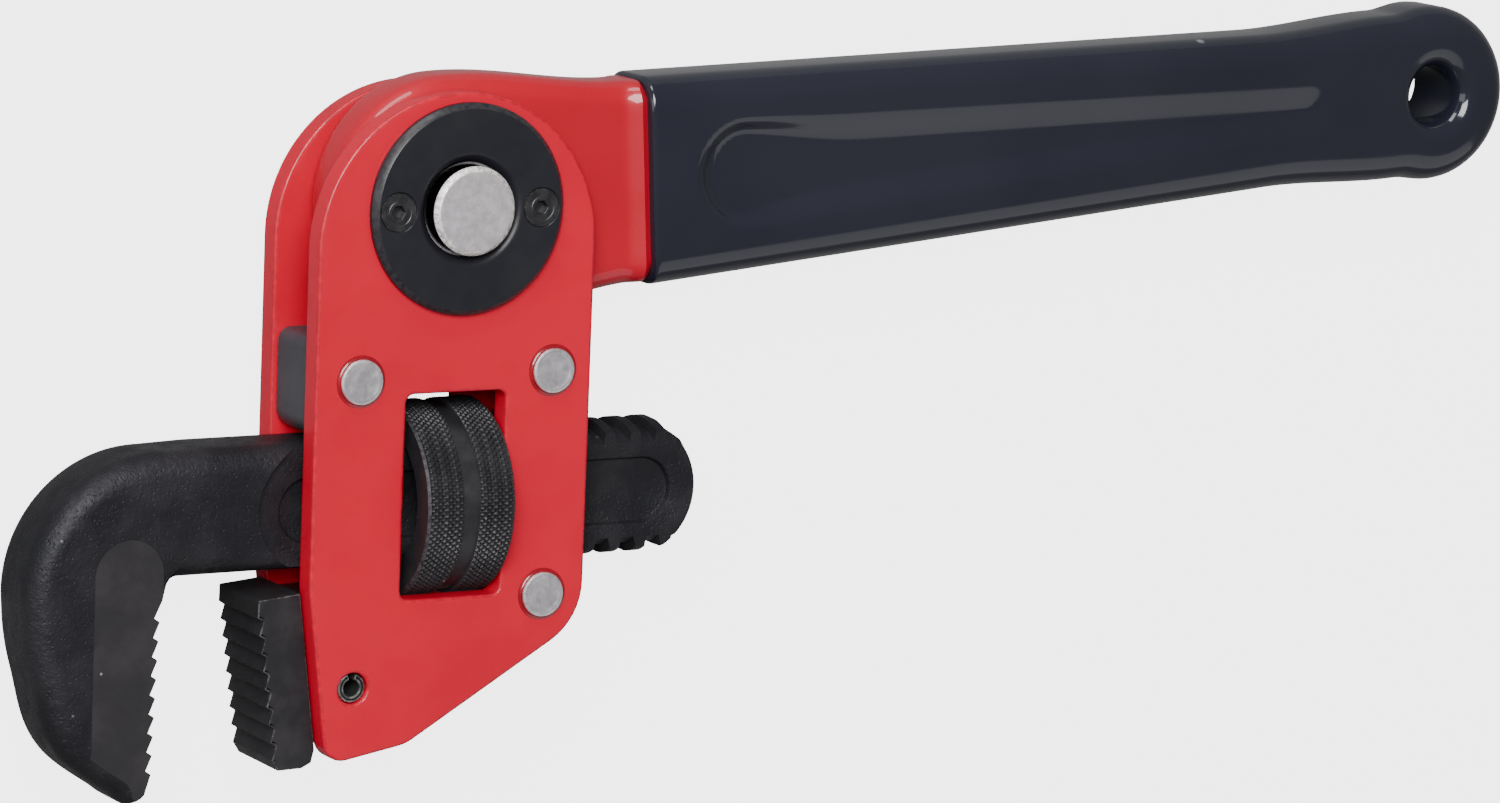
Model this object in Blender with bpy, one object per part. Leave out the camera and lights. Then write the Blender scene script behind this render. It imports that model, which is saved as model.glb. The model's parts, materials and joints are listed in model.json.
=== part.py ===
"""Swivel-head pipe wrench, lying on its adjusting nut.

Two steel plates hold a toothed heel jaw and a threaded hook jaw with its knurled nut.
The handle swings about a splined pin between the plates, and the pin is a push button.
Numbers are millimetres measured from the handle's pivot, halfway between the plates:
X runs along the hook jaw's shank, Y up the head, Z towards the button.
"""

import math

import bmesh
import bpy
from mathutils import Matrix, Vector

MM = 0.001

# Where the pivot stands over the middle of the wrench's footprint.
PIVOT = Vector((-66.537, 32.767, 15.77))
REST_GAP = 0.15  # between pieces that touch
RUN_GAP = 0.3  # between pieces that slide or turn

# Head plates
PLATE_INNER = 6.0
PLATE_OUTER = 10.25
PLATE_LEFT = -25.4
PLATE_RIGHT = 23.6
PLATE_TOP_ROUND = 24.5
PLATE_TOP_CENTRE = (-0.9, -6.0)
PLATE_LOWER_CORNERS = [(-25.4, -60.1, 4.0), (-21.7, -88.8, 3.5), (-7.5, -86.3, 8.0), (23.6, -67.9, 11.1)]
WINDOW = (-9.4, -62.7, 8.4, -29.5)
WINDOW_ROUND = 1.5
PLATE_BORE = 10.4

# Pivot caps, their screws and the lock pin
CAP_ROUND = 17.0
CAP_FACE = 12.05
CAP_CHAMFER = 0.94
CAP_BORE = 7.55
CAP_DISH = 8.9
CAP_DISH_DEPTH = 0.85
CAP_BACK = PLATE_OUTER + REST_GAP
SCREW_CIRCLE = 12.65
SCREW_HEAD = 3.1
SCREW_SHANK = 1.25
SCREW_END = 6.6
SCREW_HEX = 1.15
SCREW_HEX_DEPTH = 1.2
PIN_ROUND = 7.18
PIN_TOP = 14.05
PIN_CHAMFER = 0.7
PIN_BACK = -6.4
DRUM_BACK = -1.7
DRUM_FRONT = 9.9
TEETH = 24
DRUM_ROOT = 8.9
DRUM_TIP = 9.9
SPRING_ROUND = 8.6
SPRING_WIRE = 0.45
SPRING_TURNS = 4.0

# Rivets, blocks and the heel's spring pin
RIVETS = {
    "rivet_upper_left": (-17.57, -27.0),
    "rivet_upper_right": (16.6, -26.7),
    "rivet_lower_right": (16.0, -63.2),
}
RIVET_HEAD = 3.66
RIVET_PROUD = 0.8
RIVET_SHANK = 2.6
RIVET_HOLE = 2.85
HEEL_PIN = (-17.25, -76.5)
HEEL_PIN_ROUND = 2.4
HEEL_PIN_BORE = 1.35
HEEL_PIN_END = 9.6
HEEL_PIN_HOLE = 2.55
BLOCK_HALF = 5.8
SPACER_ROUND = 5.0

# Jaws
JAW_HALF = 7.4
TOOTH_PITCH = 3.04
HEEL_TEETH = 9
HOOK_TEETH = 9
HEEL_TIP_TOP = (-33.0, -64.5)
HEEL_TIP_BOTTOM = (-29.8, -87.8)
HOOK_TIP_TOP = (-49.7, -64.1)
HOOK_TIP_BOTTOM = (-50.6, -88.5)
TONGUE_HALF = 5.8

# Threaded shank and its nut
SHANK_Y = -48.0
SHANK_ROUND = 11.1
SHANK_ROOT = 9.7
SHANK_FLAT = 5.75
SHANK_END = 46.0
PITCH = 4.7
GROOVE_FLOOR = 2.3
GROOVE_FLANK = 0.35
THREAD_START = -22.0
THREAD_TURNS = 15
THREAD_STEPS = 24
RUN_OUT = (-23.2, 10.2)
PANEL_ROUND = 5.1
PANEL_FLOOR = 4.9
PANEL_ENDS = (-23.6, 36.1)
NUT_CENTRE = 0.3
NUT_HALF = 7.75
NUT_ROUND = 15.77
NUT_GROOVE_HALF = 1.4
NUT_GROOVE_DEPTH = 0.55
NUT_CHAMFER = 0.4

# Handle
HANDLE_TILT = math.radians(3.9)
EYE_ROUND = 20.5
EYE_HALF = 5.75
NECK_HEIGHT = 16.5
NECK_START = 35.0
FLARE = (31.8, 34.8)
FLARE_HALF = 7.0
TANG_HALF = 6.2
GRIP_START = 35.4
GRIP_HALF = 8.0
GRIP_HEIGHT = (17.1, 12.85)
GRIP_TAPER_SPAN = (35.4, 168.0)
GRIP_WALL = 1.0
KNOB_CENTRE = 190.4
KNOB_ROUND = 15.15
KNOB_BLEND = 0.9
KNOB_SWELL = 1.9
KNOB_SWELL_SPAN = (156.0, 184.0)
HANG_HOLE = 5.25
HANG_POST = 8.4
HANG_DISH = 8.0
HANG_DISH_DEPTH = 2.6
EDGE_ROUND = 3.6
GRIP_EDGE_ROUND = 4.8
PANEL_U = (53.0, 150.0)
PANEL_HALF = (9.3, 5.0)
PANEL_SLOPE = 3.2
PANEL_DEPTH = 1.9


def arc(centre, radius, start_deg, end_deg, steps):
    """Points along a circle's arc, both ends included."""
    angles = [math.radians(start_deg + (end_deg - start_deg) * i / steps) for i in range(steps + 1)]
    return [(centre[0] + radius * math.cos(a), centre[1] + radius * math.sin(a)) for a in angles]


def circle(centre, radius, steps):
    """Points round a full circle."""
    return arc(centre, radius, 0.0, 360.0, steps)[:-1]


def rounded(corners, steps=5):
    """A closed outline through (x, y, radius) corners, each rounded by its radius."""
    points = []
    for i, (x, y, radius) in enumerate(corners):
        here = Vector((x, y))
        before = (Vector(corners[i - 1][:2]) - here).normalized()
        after = (Vector(corners[(i + 1) % len(corners)][:2]) - here).normalized()
        if radius <= 0.0:
            points.append((x, y))
            continue
        half = before.angle(after) / 2
        middle = here + (before + after).normalized() * (radius / math.sin(half))
        first = here + before * (radius / math.tan(half)) - middle
        last = here + after * (radius / math.tan(half)) - middle
        turn = math.atan2(first.x * last.y - first.y * last.x, first.dot(last))
        for k in range(steps + 1):
            spot = middle + Matrix.Rotation(turn * k / steps, 2) @ first
            points.append((spot.x, spot.y))
    return points


def ring(bm, points, z):
    """Vertices of a closed outline at one height."""
    return [bm.verts.new((x, y, z)) for x, y in points]


def band(bm, low, high):
    """Quads between two rings of the same length."""
    for i in range(len(low)):
        j = (i + 1) % len(low)
        bm.faces.new((low[i], low[j], high[j], high[i]))


def lid(bm, *rings):
    """A flat face bounded by the first ring, with the others as holes."""
    edges = []
    for loop in rings:
        for i, vert in enumerate(loop):
            pair = (vert, loop[(i + 1) % len(loop)])
            edges.append(bm.edges.get(pair) or bm.edges.new(pair))
    bmesh.ops.triangle_fill(bm, use_beauty=True, use_dissolve=False, edges=edges)


def prism(outline, low, high, holes=()):
    """A flat slab of any outline, with holes through it."""
    bm = bmesh.new()
    rings = [(ring(bm, points, low), ring(bm, points, high)) for points in (outline, *holes)]
    for bottom, top in rings:
        band(bm, bottom, top)
    lid(bm, *[bottom for bottom, _ in rings])
    lid(bm, *[top for _, top in rings])
    return bm


def turned(profile, steps, closed=False):
    """A solid turned about Z from (radius, z) points: a closed section, or one ending on the axis."""
    bm = bmesh.new()
    loops = []
    for radius, z in profile:
        if radius == 0.0:
            loops.append([bm.verts.new((0.0, 0.0, z))])
        else:
            loops.append(ring(bm, circle((0.0, 0.0), radius, steps), z))
    pairs = list(zip(loops, loops[1:]))
    if closed:
        pairs.append((loops[-1], loops[0]))
    for low, high in pairs:
        if len(low) == 1 or len(high) == 1:
            pole, rim = (low[0], high) if len(low) == 1 else (high[0], low)
            for i in range(steps):
                bm.faces.new((pole, rim[i], rim[(i + 1) % steps]))
        else:
            band(bm, low, high)
    return bm


def material(name, colour, roughness, metallic=0.0):
    """A Principled material of one piece."""
    made = bpy.data.materials.new(name)
    made.use_nodes = True
    shader = made.node_tree.nodes["Principled BSDF"]
    shader.inputs["Base Color"].default_value = (*colour, 1.0)
    shader.inputs["Roughness"].default_value = roughness
    shader.inputs["Metallic"].default_value = metallic
    return made


def piece(name, bm, finish, parent, place=(0.0, 0.0, 0.0)):
    """Turns a bmesh in millimetres into a named object in metres under its parent."""
    bmesh.ops.recalc_face_normals(bm, faces=bm.faces)
    if bm.calc_volume(signed=True) < 0.0:
        bmesh.ops.reverse_faces(bm, faces=bm.faces)
    bm.transform(Matrix.Scale(MM, 4))
    mesh = bpy.data.meshes.new(name)
    bm.to_mesh(mesh)
    bm.free()
    mesh.shade_smooth()
    mesh.set_sharp_from_angle(angle=math.radians(30))
    mesh.materials.append(finish)
    made = bpy.data.objects.new(name, mesh)
    made.parent = parent
    made.location = Vector(place) * MM
    bpy.context.collection.objects.link(made)
    return made


def combine(target, helper_bm, operation, place=(0.0, 0.0, 0.0), solver="EXACT"):
    """Adds a Boolean modifier with a hidden helper solid that shares the target's parent."""
    name = f"{target.name}_{operation.lower()}_{len(target.modifiers)}"
    helper = piece(name, helper_bm, target.data.materials[0], target.parent, place)
    helper.hide_render = True
    helper.display_type = "WIRE"
    modifier = target.modifiers.new(operation.title(), "BOOLEAN")
    modifier.operation = operation
    modifier.solver = solver
    modifier.object = helper


def frame(name, parent, place, tilt=0.0):
    """An empty that carries the pieces of one moving body."""
    made = bpy.data.objects.new(name, None)
    made.parent = parent
    made.location = Vector(place) * MM
    made.rotation_euler.z = tilt
    bpy.context.collection.objects.link(made)
    return made


def screw_places():
    """The two cap screws' centres, left then right."""
    return {"left": (-SCREW_CIRCLE, 0.0), "right": (SCREW_CIRCLE, 0.0)}


def plate_outline():
    """The side plate: a round top, straight sides and a slanted foot."""
    top = arc(PLATE_TOP_CENTRE, PLATE_TOP_ROUND, 0.0, 180.0, 20)
    left, foot_left, foot, right = PLATE_LOWER_CORNERS
    anchor = (PLATE_RIGHT, PLATE_TOP_CENTRE[1], 0.0)
    other = (PLATE_LEFT, PLATE_TOP_CENTRE[1], 0.0)
    lower = rounded([other, left, foot_left, foot, right, anchor])
    return top + lower[1:-1]


def add_plates(head):
    """The front and back plates, alike, each outside the gap that holds the jaws and the handle's eye."""
    x0, y0, x1, y1 = WINDOW
    corners = [(x0, y0), (x1, y0), (x1, y1), (x0, y1)]
    holes = [rounded([(x, y, WINDOW_ROUND) for x, y in corners], 3)]
    holes.append(circle((0.0, 0.0), PLATE_BORE, 40))
    holes.extend(circle(spot, RIVET_HOLE, 14) for spot in RIVETS.values())
    holes.extend(circle(spot, SCREW_SHANK + RUN_GAP, 10) for spot in screw_places().values())
    holes.append(circle(HEEL_PIN, HEEL_PIN_HOLE, 14))
    lacquer = material("red lacquer", (0.62, 0.012, 0.02), 0.28)
    for name, low, high in (
        ("front_plate", PLATE_INNER, PLATE_OUTER),
        ("back_plate", -PLATE_OUTER, -PLATE_INNER),
    ):
        piece(name, prism(plate_outline(), low, high, holes), lacquer, head)


def mirrored(bm, side):
    """The same solid turned half round about X when side is -1."""
    if side < 0:
        bm.transform(Matrix.Rotation(math.pi, 4, "X"))
    return bm


def cap_solid(bored):
    """A pivot cap: a chamfered disc with two countersunk screw holes and, at the front, a dished bore."""
    bm = bmesh.new()
    chains = [
        [(CAP_ROUND, CAP_BACK), (CAP_ROUND, CAP_FACE - CAP_CHAMFER), (CAP_ROUND - CAP_CHAMFER, CAP_FACE)],
    ]
    if bored:
        chains.append([(CAP_BORE, CAP_BACK), (CAP_BORE, CAP_FACE - CAP_DISH_DEPTH), (CAP_DISH, CAP_FACE)])
    rings = [[ring(bm, circle((0, 0), r, 40), z) for r, z in chain] for chain in chains]
    for x, y in screw_places().values():
        bottom = ring(bm, circle((x, y), SCREW_SHANK + RUN_GAP, 16), CAP_BACK)
        top = ring(bm, circle((x, y), SCREW_HEAD + RUN_GAP, 16), CAP_FACE)
        rings.append([bottom, top])
    for chain in rings:
        for below, above in zip(chain, chain[1:]):
            band(bm, below, above)
    lid(bm, *[chain[0] for chain in rings])
    lid(bm, *[chain[-1] for chain in rings])
    return bm


def cap_screw_solid():
    """A countersunk screw with a hexagon socket."""
    bm = bmesh.new()
    top = CAP_FACE - 0.1
    shank_top = PLATE_OUTER
    chain = [
        ring(bm, circle((0, 0), SCREW_SHANK, 16), SCREW_END),
        ring(bm, circle((0, 0), SCREW_SHANK, 16), shank_top),
        ring(bm, circle((0, 0), SCREW_HEAD, 16), top),
    ]
    for below, above in zip(chain, chain[1:]):
        band(bm, below, above)
    hexagon = circle((0, 0), SCREW_HEX, 6)
    mouth = ring(bm, hexagon, top)
    floor = ring(bm, hexagon, top - SCREW_HEX_DEPTH)
    band(bm, floor, mouth)
    lid(bm, chain[0])
    lid(bm, chain[-1], mouth)
    lid(bm, floor)
    return bm


def add_caps(head):
    """Both pivot caps, each with its two screws into the plate."""
    satin_black = material("satin black", (0.012, 0.013, 0.017), 0.42)
    black_oxide = material("black oxide", (0.03, 0.03, 0.034), 0.4, 0.6)
    for side_name, side in (("front", 1), ("back", -1)):
        piece(f"{side_name}_cap", mirrored(cap_solid(side > 0), side), satin_black, head)
        for end, (x, y) in screw_places().items():
            bm = mirrored(cap_screw_solid(), side)
            piece(f"{side_name}_cap_screw_{end}", bm, black_oxide, head, (x, y, 0.0))


def rivet_solid():
    """A rivet headed at both plates."""
    low = PLATE_OUTER + REST_GAP
    high = PLATE_OUTER + RIVET_PROUD
    half = [(RIVET_SHANK, low), (RIVET_HEAD, low), (RIVET_HEAD, high - 0.25), (RIVET_HEAD - 0.3, high)]
    profile = [(0.0, -high), *[(r, -z) for r, z in reversed(half)], *half, (0.0, high)]
    return turned(profile, 20)


def add_rivets(head):
    """The three rivets that hold the plates together."""
    steel = material("bright steel", (0.55, 0.53, 0.53), 0.35, 1.0)
    for name, (x, y) in RIVETS.items():
        piece(name, rivet_solid(), steel, head, (x, y, 0.0))


def add_blocks(head):
    """The guide blocks over and under the shank, and the upper right spacer sleeve."""
    steel = material("blackened steel", (0.035, 0.036, 0.042), 0.5, 0.5)
    upper = [(-24.6, -36.5, 3.2), (-11.4, -36.5, 2.0), (-11.4, -20.3, 2.0), (-24.6, -20.3, 2.2)]
    lower = [(10.2, -67.0, 2.5), (21.4, -67.0, 2.5), (21.4, -59.45, 1.5), (10.2, -59.45, 1.5)]
    for name, corners, rivet in (
        ("upper_guide_block", upper, "rivet_upper_left"),
        ("lower_guide_block", lower, "rivet_lower_right"),
    ):
        hole = circle(RIVETS[rivet], RIVET_HOLE, 14)
        bm = prism(rounded(corners, 4), -BLOCK_HALF, BLOCK_HALF, [hole])
        piece(name, bm, steel, head)
    sleeve = [(RIVET_HOLE, -BLOCK_HALF), (SPACER_ROUND, -BLOCK_HALF)]
    sleeve += [(r, -z) for r, z in reversed(sleeve)]
    x, y = RIVETS["rivet_upper_right"]
    piece("upper_right_spacer", turned(sleeve, 20, closed=True), steel, head, (x, y, 0.0))


def add_jaw_spring(head):
    """A leaf spring hooked on the upper right spacer, pressing on the shank."""
    thickness, half_width = 0.7, 4.5
    hook_round = SPACER_ROUND + 0.3 + thickness / 2
    path = [(10.6, -35.3), (11.5, -35.95), (12.6, -36.15), (14.0, -35.75)]
    path += arc(RIVETS["rivet_upper_right"], hook_round, -62.0, 20.0, 7)
    left, right = [], []
    for i, (x, y) in enumerate(path):
        ahead = Vector(path[min(i + 1, len(path) - 1)])
        behind = Vector(path[max(i - 1, 0)])
        along = (ahead - behind).normalized() * (thickness / 2)
        left.append((x - along.y, y + along.x))
        right.append((x + along.y, y - along.x))
    steel = material("spring steel", (0.16, 0.17, 0.2), 0.35, 1.0)
    piece("jaw_spring", prism(left + right[::-1], -half_width, half_width), steel, head)


def tooth_row(top, bottom, count, depth, drop):
    """Saw teeth from the top tip to the bottom tip: each tip, then the root that lies drop below it."""
    points = []
    for k in range(count):
        share = k / (count - 1)
        x = top[0] + (bottom[0] - top[0]) * share
        y = top[1] + (bottom[1] - top[1]) * share
        points.append((x, y))
        if k < count - 1:
            points.append((x + depth, y - drop))
    return points


def add_heel_jaw(head):
    """The fixed jaw: a toothed block against the plates' edges, and a tongue pinned between them."""
    teeth = tooth_row(HEEL_TIP_TOP, HEEL_TIP_BOTTOM, HEEL_TEETH, 1.0, 0.7)
    outline = [(-32.9, -61.8), *teeth, (-28.7, -89.6), (-24.6, -89.5), (-22.9, -88.7), (-22.4, -86.6)]
    outline += [(-25.7, -61.1)]
    steel = material("phosphated jaw steel", (0.03, 0.031, 0.034), 0.55, 0.45)
    jaw = piece("heel_jaw", prism(outline, -JAW_HALF, JAW_HALF), steel, head)
    corners = [(-30.0, -63.2, 0.0), (-30.0, -82.0, 0.0), (-20.5, -86.4, 1.5), (-10.6, -83.5, 2.0)]
    corners += [(-10.6, -65.0, 2.0), (-14.0, -62.0, 1.5), (-24.0, -62.2, 0.0)]
    hole = circle(HEEL_PIN, HEEL_PIN_HOLE, 14)
    tongue = prism(rounded(corners, 3), -TONGUE_HALF, TONGUE_HALF, [hole])
    combine(jaw, tongue, "UNION")


def add_heel_pin(head):
    """The slit spring pin that holds the heel jaw."""
    slit = 17.0
    outer = arc(HEEL_PIN, HEEL_PIN_ROUND, 90 + slit, 450 - slit, 18)
    inner = arc(HEEL_PIN, HEEL_PIN_BORE, 450 - slit, 90 + slit, 18)
    steel = material("dark spring pin", (0.06, 0.06, 0.07), 0.4, 0.9)
    piece("heel_spring_pin", prism(outer + inner, -HEEL_PIN_END, HEEL_PIN_END), steel, head)


def spline_outline(root, tip, root_half, tip_half):
    """A toothed circle: TEETH teeth, whose half widths are given in degrees."""
    points = []
    for k in range(TEETH):
        centre = 360.0 / TEETH * k
        for offset, radius in ((-root_half, root), (-tip_half, tip), (tip_half, tip), (root_half, root)):
            angle = math.radians(centre + offset)
            points.append((radius * math.cos(angle), radius * math.sin(angle)))
    return points


def add_lock_pin(button):
    """The push button: a plain pin through the front cap, and a toothed drum in the handle's eye."""
    bm = bmesh.new()
    steel = material("zinc plated steel", (0.5, 0.48, 0.47), 0.38, 1.0)
    teeth = spline_outline(DRUM_ROOT, DRUM_TIP, 4.3, 2.6)
    pin = circle((0, 0), PIN_ROUND, 32)
    small = circle((0, 0), PIN_ROUND - PIN_CHAMFER, 32)
    back = [ring(bm, small, PIN_BACK), ring(bm, pin, PIN_BACK + PIN_CHAMFER), ring(bm, pin, DRUM_BACK)]
    drum = [ring(bm, teeth, DRUM_BACK), ring(bm, teeth, DRUM_FRONT)]
    front = [ring(bm, pin, DRUM_FRONT), ring(bm, pin, PIN_TOP - PIN_CHAMFER), ring(bm, small, PIN_TOP)]
    for chain in (back, drum, front):
        for low, high in zip(chain, chain[1:]):
            band(bm, low, high)
    lid(bm, back[0])
    lid(bm, drum[0], back[-1])
    lid(bm, drum[-1], front[0])
    lid(bm, front[-1])
    piece("lock_pin", bm, steel, button)


def add_lock_spring(handle):
    """The coil that pushes the lock pin out, between the back cap and the drum."""
    low = SPRING_WIRE + RUN_GAP - CAP_BACK
    high = DRUM_BACK - RUN_GAP - SPRING_WIRE
    steps = 20
    count = int(steps * SPRING_TURNS)
    curve = bpy.data.curves.new("lock_spring", "CURVE")
    curve.dimensions = "3D"
    spline = curve.splines.new("POLY")
    spline.points.add(count)
    for i in range(count + 1):
        angle = 2 * math.pi * i / steps
        x, y = SPRING_ROUND * math.cos(angle), SPRING_ROUND * math.sin(angle)
        spline.points[i].co = (x * MM, y * MM, (low + (high - low) * i / count) * MM, 1.0)
    curve.bevel_depth = SPRING_WIRE * MM
    curve.bevel_resolution = 1
    curve.use_fill_caps = True
    curve.materials.append(material("spring wire", (0.35, 0.35, 0.37), 0.3, 1.0))
    spring = bpy.data.objects.new("lock_spring", curve)
    spring.parent = handle
    bpy.context.collection.objects.link(spring)


def neck_height(u):
    """Half height of the red forging from its eye to the grip."""
    if u >= NECK_START:
        return NECK_HEIGHT
    return NECK_HEIGHT + (EYE_ROUND - NECK_HEIGHT) * (0.5 + 0.5 * math.cos(math.pi * u / NECK_START))


def grip_height(u):
    """Half height of the grip: a straight taper that swells into the round knob."""
    start, end = GRIP_TAPER_SPAN
    taper = GRIP_HEIGHT[0] + (GRIP_HEIGHT[1] - GRIP_HEIGHT[0]) * (u - start) / (end - start)
    start, end = KNOB_SWELL_SPAN
    share = min(max((u - start) / (end - start), 0.0), 1.0)
    taper += KNOB_SWELL * share * share * (3 - 2 * share)
    knob = math.sqrt(max(KNOB_ROUND**2 - (u - KNOB_CENTRE) ** 2, 0.0))
    overlap = max(KNOB_BLEND - abs(taper - knob), 0.0)
    return max(taper, knob) + overlap * overlap / (4 * KNOB_BLEND)


def side_points(height, stations):
    """Upper outline points with their outward normals along the handle."""
    step = 0.01
    points = []
    for u in stations:
        slope = (height(u + step) - height(u - step)) / (2 * step)
        size = math.hypot(slope, 1.0)
        points.append((u, height(u), -slope / size, 1.0 / size))
    return points


def round_end(centre, radius, start_deg, end_deg, steps):
    """Upper outline points with normals round the eye or the knob."""
    points = []
    for x, y in arc((centre, 0.0), radius, start_deg, end_deg, steps):
        y = max(y, 0.0)
        points.append((x, y, (x - centre) / radius, y / radius))
    return points


def panel_dip(u, v):
    """Depth of the long hollow in the grip's side at a point."""
    start, end = PANEL_U
    along = min(max(u, start), end)
    share = (along - start) / (end - start)
    half = PANEL_HALF[0] + (PANEL_HALF[1] - PANEL_HALF[0]) * share
    inside = half - math.hypot(u - along, v)
    edge = min(max(inside / PANEL_SLOPE, 0.0), 1.0)
    fade = 1.0 - 0.75 * min(max((u - start) / (end + PANEL_HALF[1] - start), 0.0), 1.0)
    return PANEL_DEPTH * fade * edge * edge * (3 - 2 * edge)


def handle_solid(points, half_at, edge, across, dip):
    """Lofts a section along the handle from outline points, half thickness, edge radius and side hollow."""
    bm = bmesh.new()
    turns = 3
    angles = [math.pi / 2 * k / turns for k in range(turns + 1)]
    loops = []
    for u, v, nu, nv in points:
        half = half_at(u)
        section = []
        inner_u = u - edge * nu
        inner_v = v - edge * nv
        for j in range(1, across):
            side = inner_v * (1 - 2 * j / across)
            section.append((inner_u, side, half - dip(inner_u, side)))
        for angle in angles:
            out, rise = edge * math.sin(angle), edge * math.cos(angle)
            section.append((inner_u + out * nu, -(inner_v + out * nv), half - edge + rise))
        front = [(inner_u, inner_v, half), *section][1:]
        upper = [(x, -y, z) for x, y, z in reversed(front[across - 1 :])]
        face = front[: across - 1]
        lower = front[across - 1 :]
        top_half = [*upper, *face, *lower]
        loop = top_half + [(x, y, -z) for x, y, z in reversed(top_half)]
        loops.append([bm.verts.new(co) for co in loop])
    for first, second in zip(loops, loops[1:]):
        band(bm, first, second)
    if points[0][1] > 0.0:
        bm.faces.new(loops[0])
    if points[-1][1] > 0.0:
        bm.faces.new(loops[-1])
    bmesh.ops.remove_doubles(bm, verts=bm.verts, dist=0.001)
    bmesh.ops.dissolve_degenerate(bm, edges=bm.edges, dist=0.001)
    return bm


def span(start, end, count):
    """Evenly spaced stations, both ends included."""
    return [start + (end - start) * i / count for i in range(count + 1)]


def tang_half(u):
    """Half thickness of the forging: thin between the plates, flared at the grip, less inside it."""
    if u > FLARE[1]:
        return TANG_HALF
    share = max((u - FLARE[0]) / (FLARE[1] - FLARE[0]), 0.0)
    return EYE_HALF + (FLARE_HALF - EYE_HALF) * share


def body_points(inset, start, across_steps):
    """Outline of the grip, or of what fits inside it at the given inset, from start to the knob's end."""
    stations = [start, 39.0, 43.0, 46.0, 50.0, 54.0, 60.0, *span(74.0, 164.0, 6)]
    stations += [170.0, 175.0, 179.0, 182.0, 185.0, 188.0]
    points = side_points(lambda u: grip_height(u) - inset, stations)
    return points + round_end(KNOB_CENTRE, KNOB_ROUND - inset, 90.0, 0.0, across_steps)


def add_handle(handle):
    """The forging: splined eye, neck and the tang that fills the grip."""
    lacquer = material("red lacquer on the forging", (0.55, 0.012, 0.02), 0.28)
    inset = GRIP_WALL + RUN_GAP
    points = round_end(0.0, EYE_ROUND, 180.0, 90.0, 8)[:-1]
    points += side_points(neck_height, span(0.0, 30.0, 8) + list(FLARE))
    points += body_points(inset, GRIP_START - RUN_GAP, 7)
    solid = handle_solid(points, tang_half, EDGE_ROUND, 8, panel_dip)
    forging = piece("handle_forging", solid, lacquer, handle)
    bore = spline_outline(DRUM_ROOT + RUN_GAP, DRUM_TIP + RUN_GAP, 5.2, 3.5)
    combine(forging, prism(bore, -8.0, 8.0), "DIFFERENCE")
    eye = circle((KNOB_CENTRE, 0.0), HANG_POST + RUN_GAP, 24)
    combine(forging, prism(eye, -10.0, 10.0), "DIFFERENCE")


def grip_cavity():
    """The space inside the grip, with the post that lines the hanging hole left out."""
    points = body_points(GRIP_WALL, GRIP_START - 4.0, 7)
    half = GRIP_HALF - GRIP_WALL
    return handle_solid(points, lambda _: half, EDGE_ROUND + RUN_GAP, 8, panel_dip)


def hanging_hole():
    """The cutter for the hanging hole, dished at both faces."""
    half = GRIP_HALF + 1.0
    flare = [(HANG_HOLE, GRIP_HALF - HANG_DISH_DEPTH), (HANG_DISH - 1.1, GRIP_HALF - 0.7)]
    flare.append((HANG_DISH + 1.5, half))
    profile = [(0.0, half), *reversed(flare), *[(r, -z) for r, z in flare], (0.0, -half)]
    return turned(profile[::-1], 24)


def add_grip(handle):
    """The dipped grip: a sleeve closed at the knob, hollowed at both sides, lined at the hanging hole."""
    vinyl = material("black dipped vinyl", (0.008, 0.009, 0.014), 0.12)
    outer = body_points(0.0, GRIP_START, 7)
    solid = handle_solid(outer, lambda _: GRIP_HALF, GRIP_EDGE_ROUND, 8, panel_dip)
    grip = piece("handle_grip", solid, vinyl, handle)
    cavity = piece("grip_cavity", grip_cavity(), vinyl, handle)
    cavity.hide_render = True
    cavity.display_type = "WIRE"
    combine(cavity, turned(post_profile(), 24), "DIFFERENCE", (KNOB_CENTRE, 0.0, 0.0), "MANIFOLD")
    modifier = grip.modifiers.new("Hollow", "BOOLEAN")
    modifier.operation = "DIFFERENCE"
    modifier.solver = "MANIFOLD"
    modifier.object = cavity
    combine(grip, hanging_hole(), "DIFFERENCE", (KNOB_CENTRE, 0.0, 0.0), "MANIFOLD")


def post_profile():
    """The lining of the hanging hole, as a plain post."""
    return [(0.0, -9.5), (HANG_POST, -9.5), (HANG_POST, 9.5), (0.0, 9.5)]


def threaded_rod(radius, root, floor, flank, start, turns):
    """A closed rod about X with a right-hand thread that fades out at both ends."""
    bm = bmesh.new()
    crest = PITCH - floor - 2 * flank
    rise, fall = crest / 2, PITCH - crest / 2
    section = [(rise, 0.0), (rise + flank, 1.0), (fall - flank, 1.0), (fall, 0.0)]
    fade_steps = THREAD_STEPS // 4
    last = turns * THREAD_STEPS - 1
    columns = []
    for turn in range(turns):
        for along, depth in section:
            column = []
            for j in range(THREAD_STEPS):
                step = turn * THREAD_STEPS + j
                fade = min(step / fade_steps, (last - step) / fade_steps, 1.0)
                r = radius - (radius - root) * depth * fade
                angle = 2 * math.pi * j / THREAD_STEPS
                x = start + PITCH * (turn + j / THREAD_STEPS) + along
                column.append(bm.verts.new((x, r * math.cos(angle), r * math.sin(angle))))
            columns.append(column)
    size = len(section)
    count = len(columns)
    for m in range(count - 1):
        for j in range(THREAD_STEPS - 1):
            bm.faces.new((columns[m][j], columns[m + 1][j], columns[m + 1][j + 1], columns[m][j + 1]))
        if m + 1 + size < count:
            ahead, beside = columns[m + 1 + size][0], columns[m + size][0]
            bm.faces.new((columns[m][-1], columns[m + 1][-1], ahead, beside))
    first_rim = columns[0] + [columns[k][0] for k in range(size, 0, -1)]
    last_rim = columns[-1] + [columns[count - 1 - k][-1] for k in range(1, size + 1)]
    for rim, x in ((first_rim, start - 2.0), (last_rim, start + PITCH * (turns + 1) + 2.0)):
        tip = bm.verts.new((x, 0.0, 0.0))
        for i, vert in enumerate(rim):
            bm.faces.new((tip, vert, rim[(i + 1) % len(rim)]))
    return bm


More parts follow.
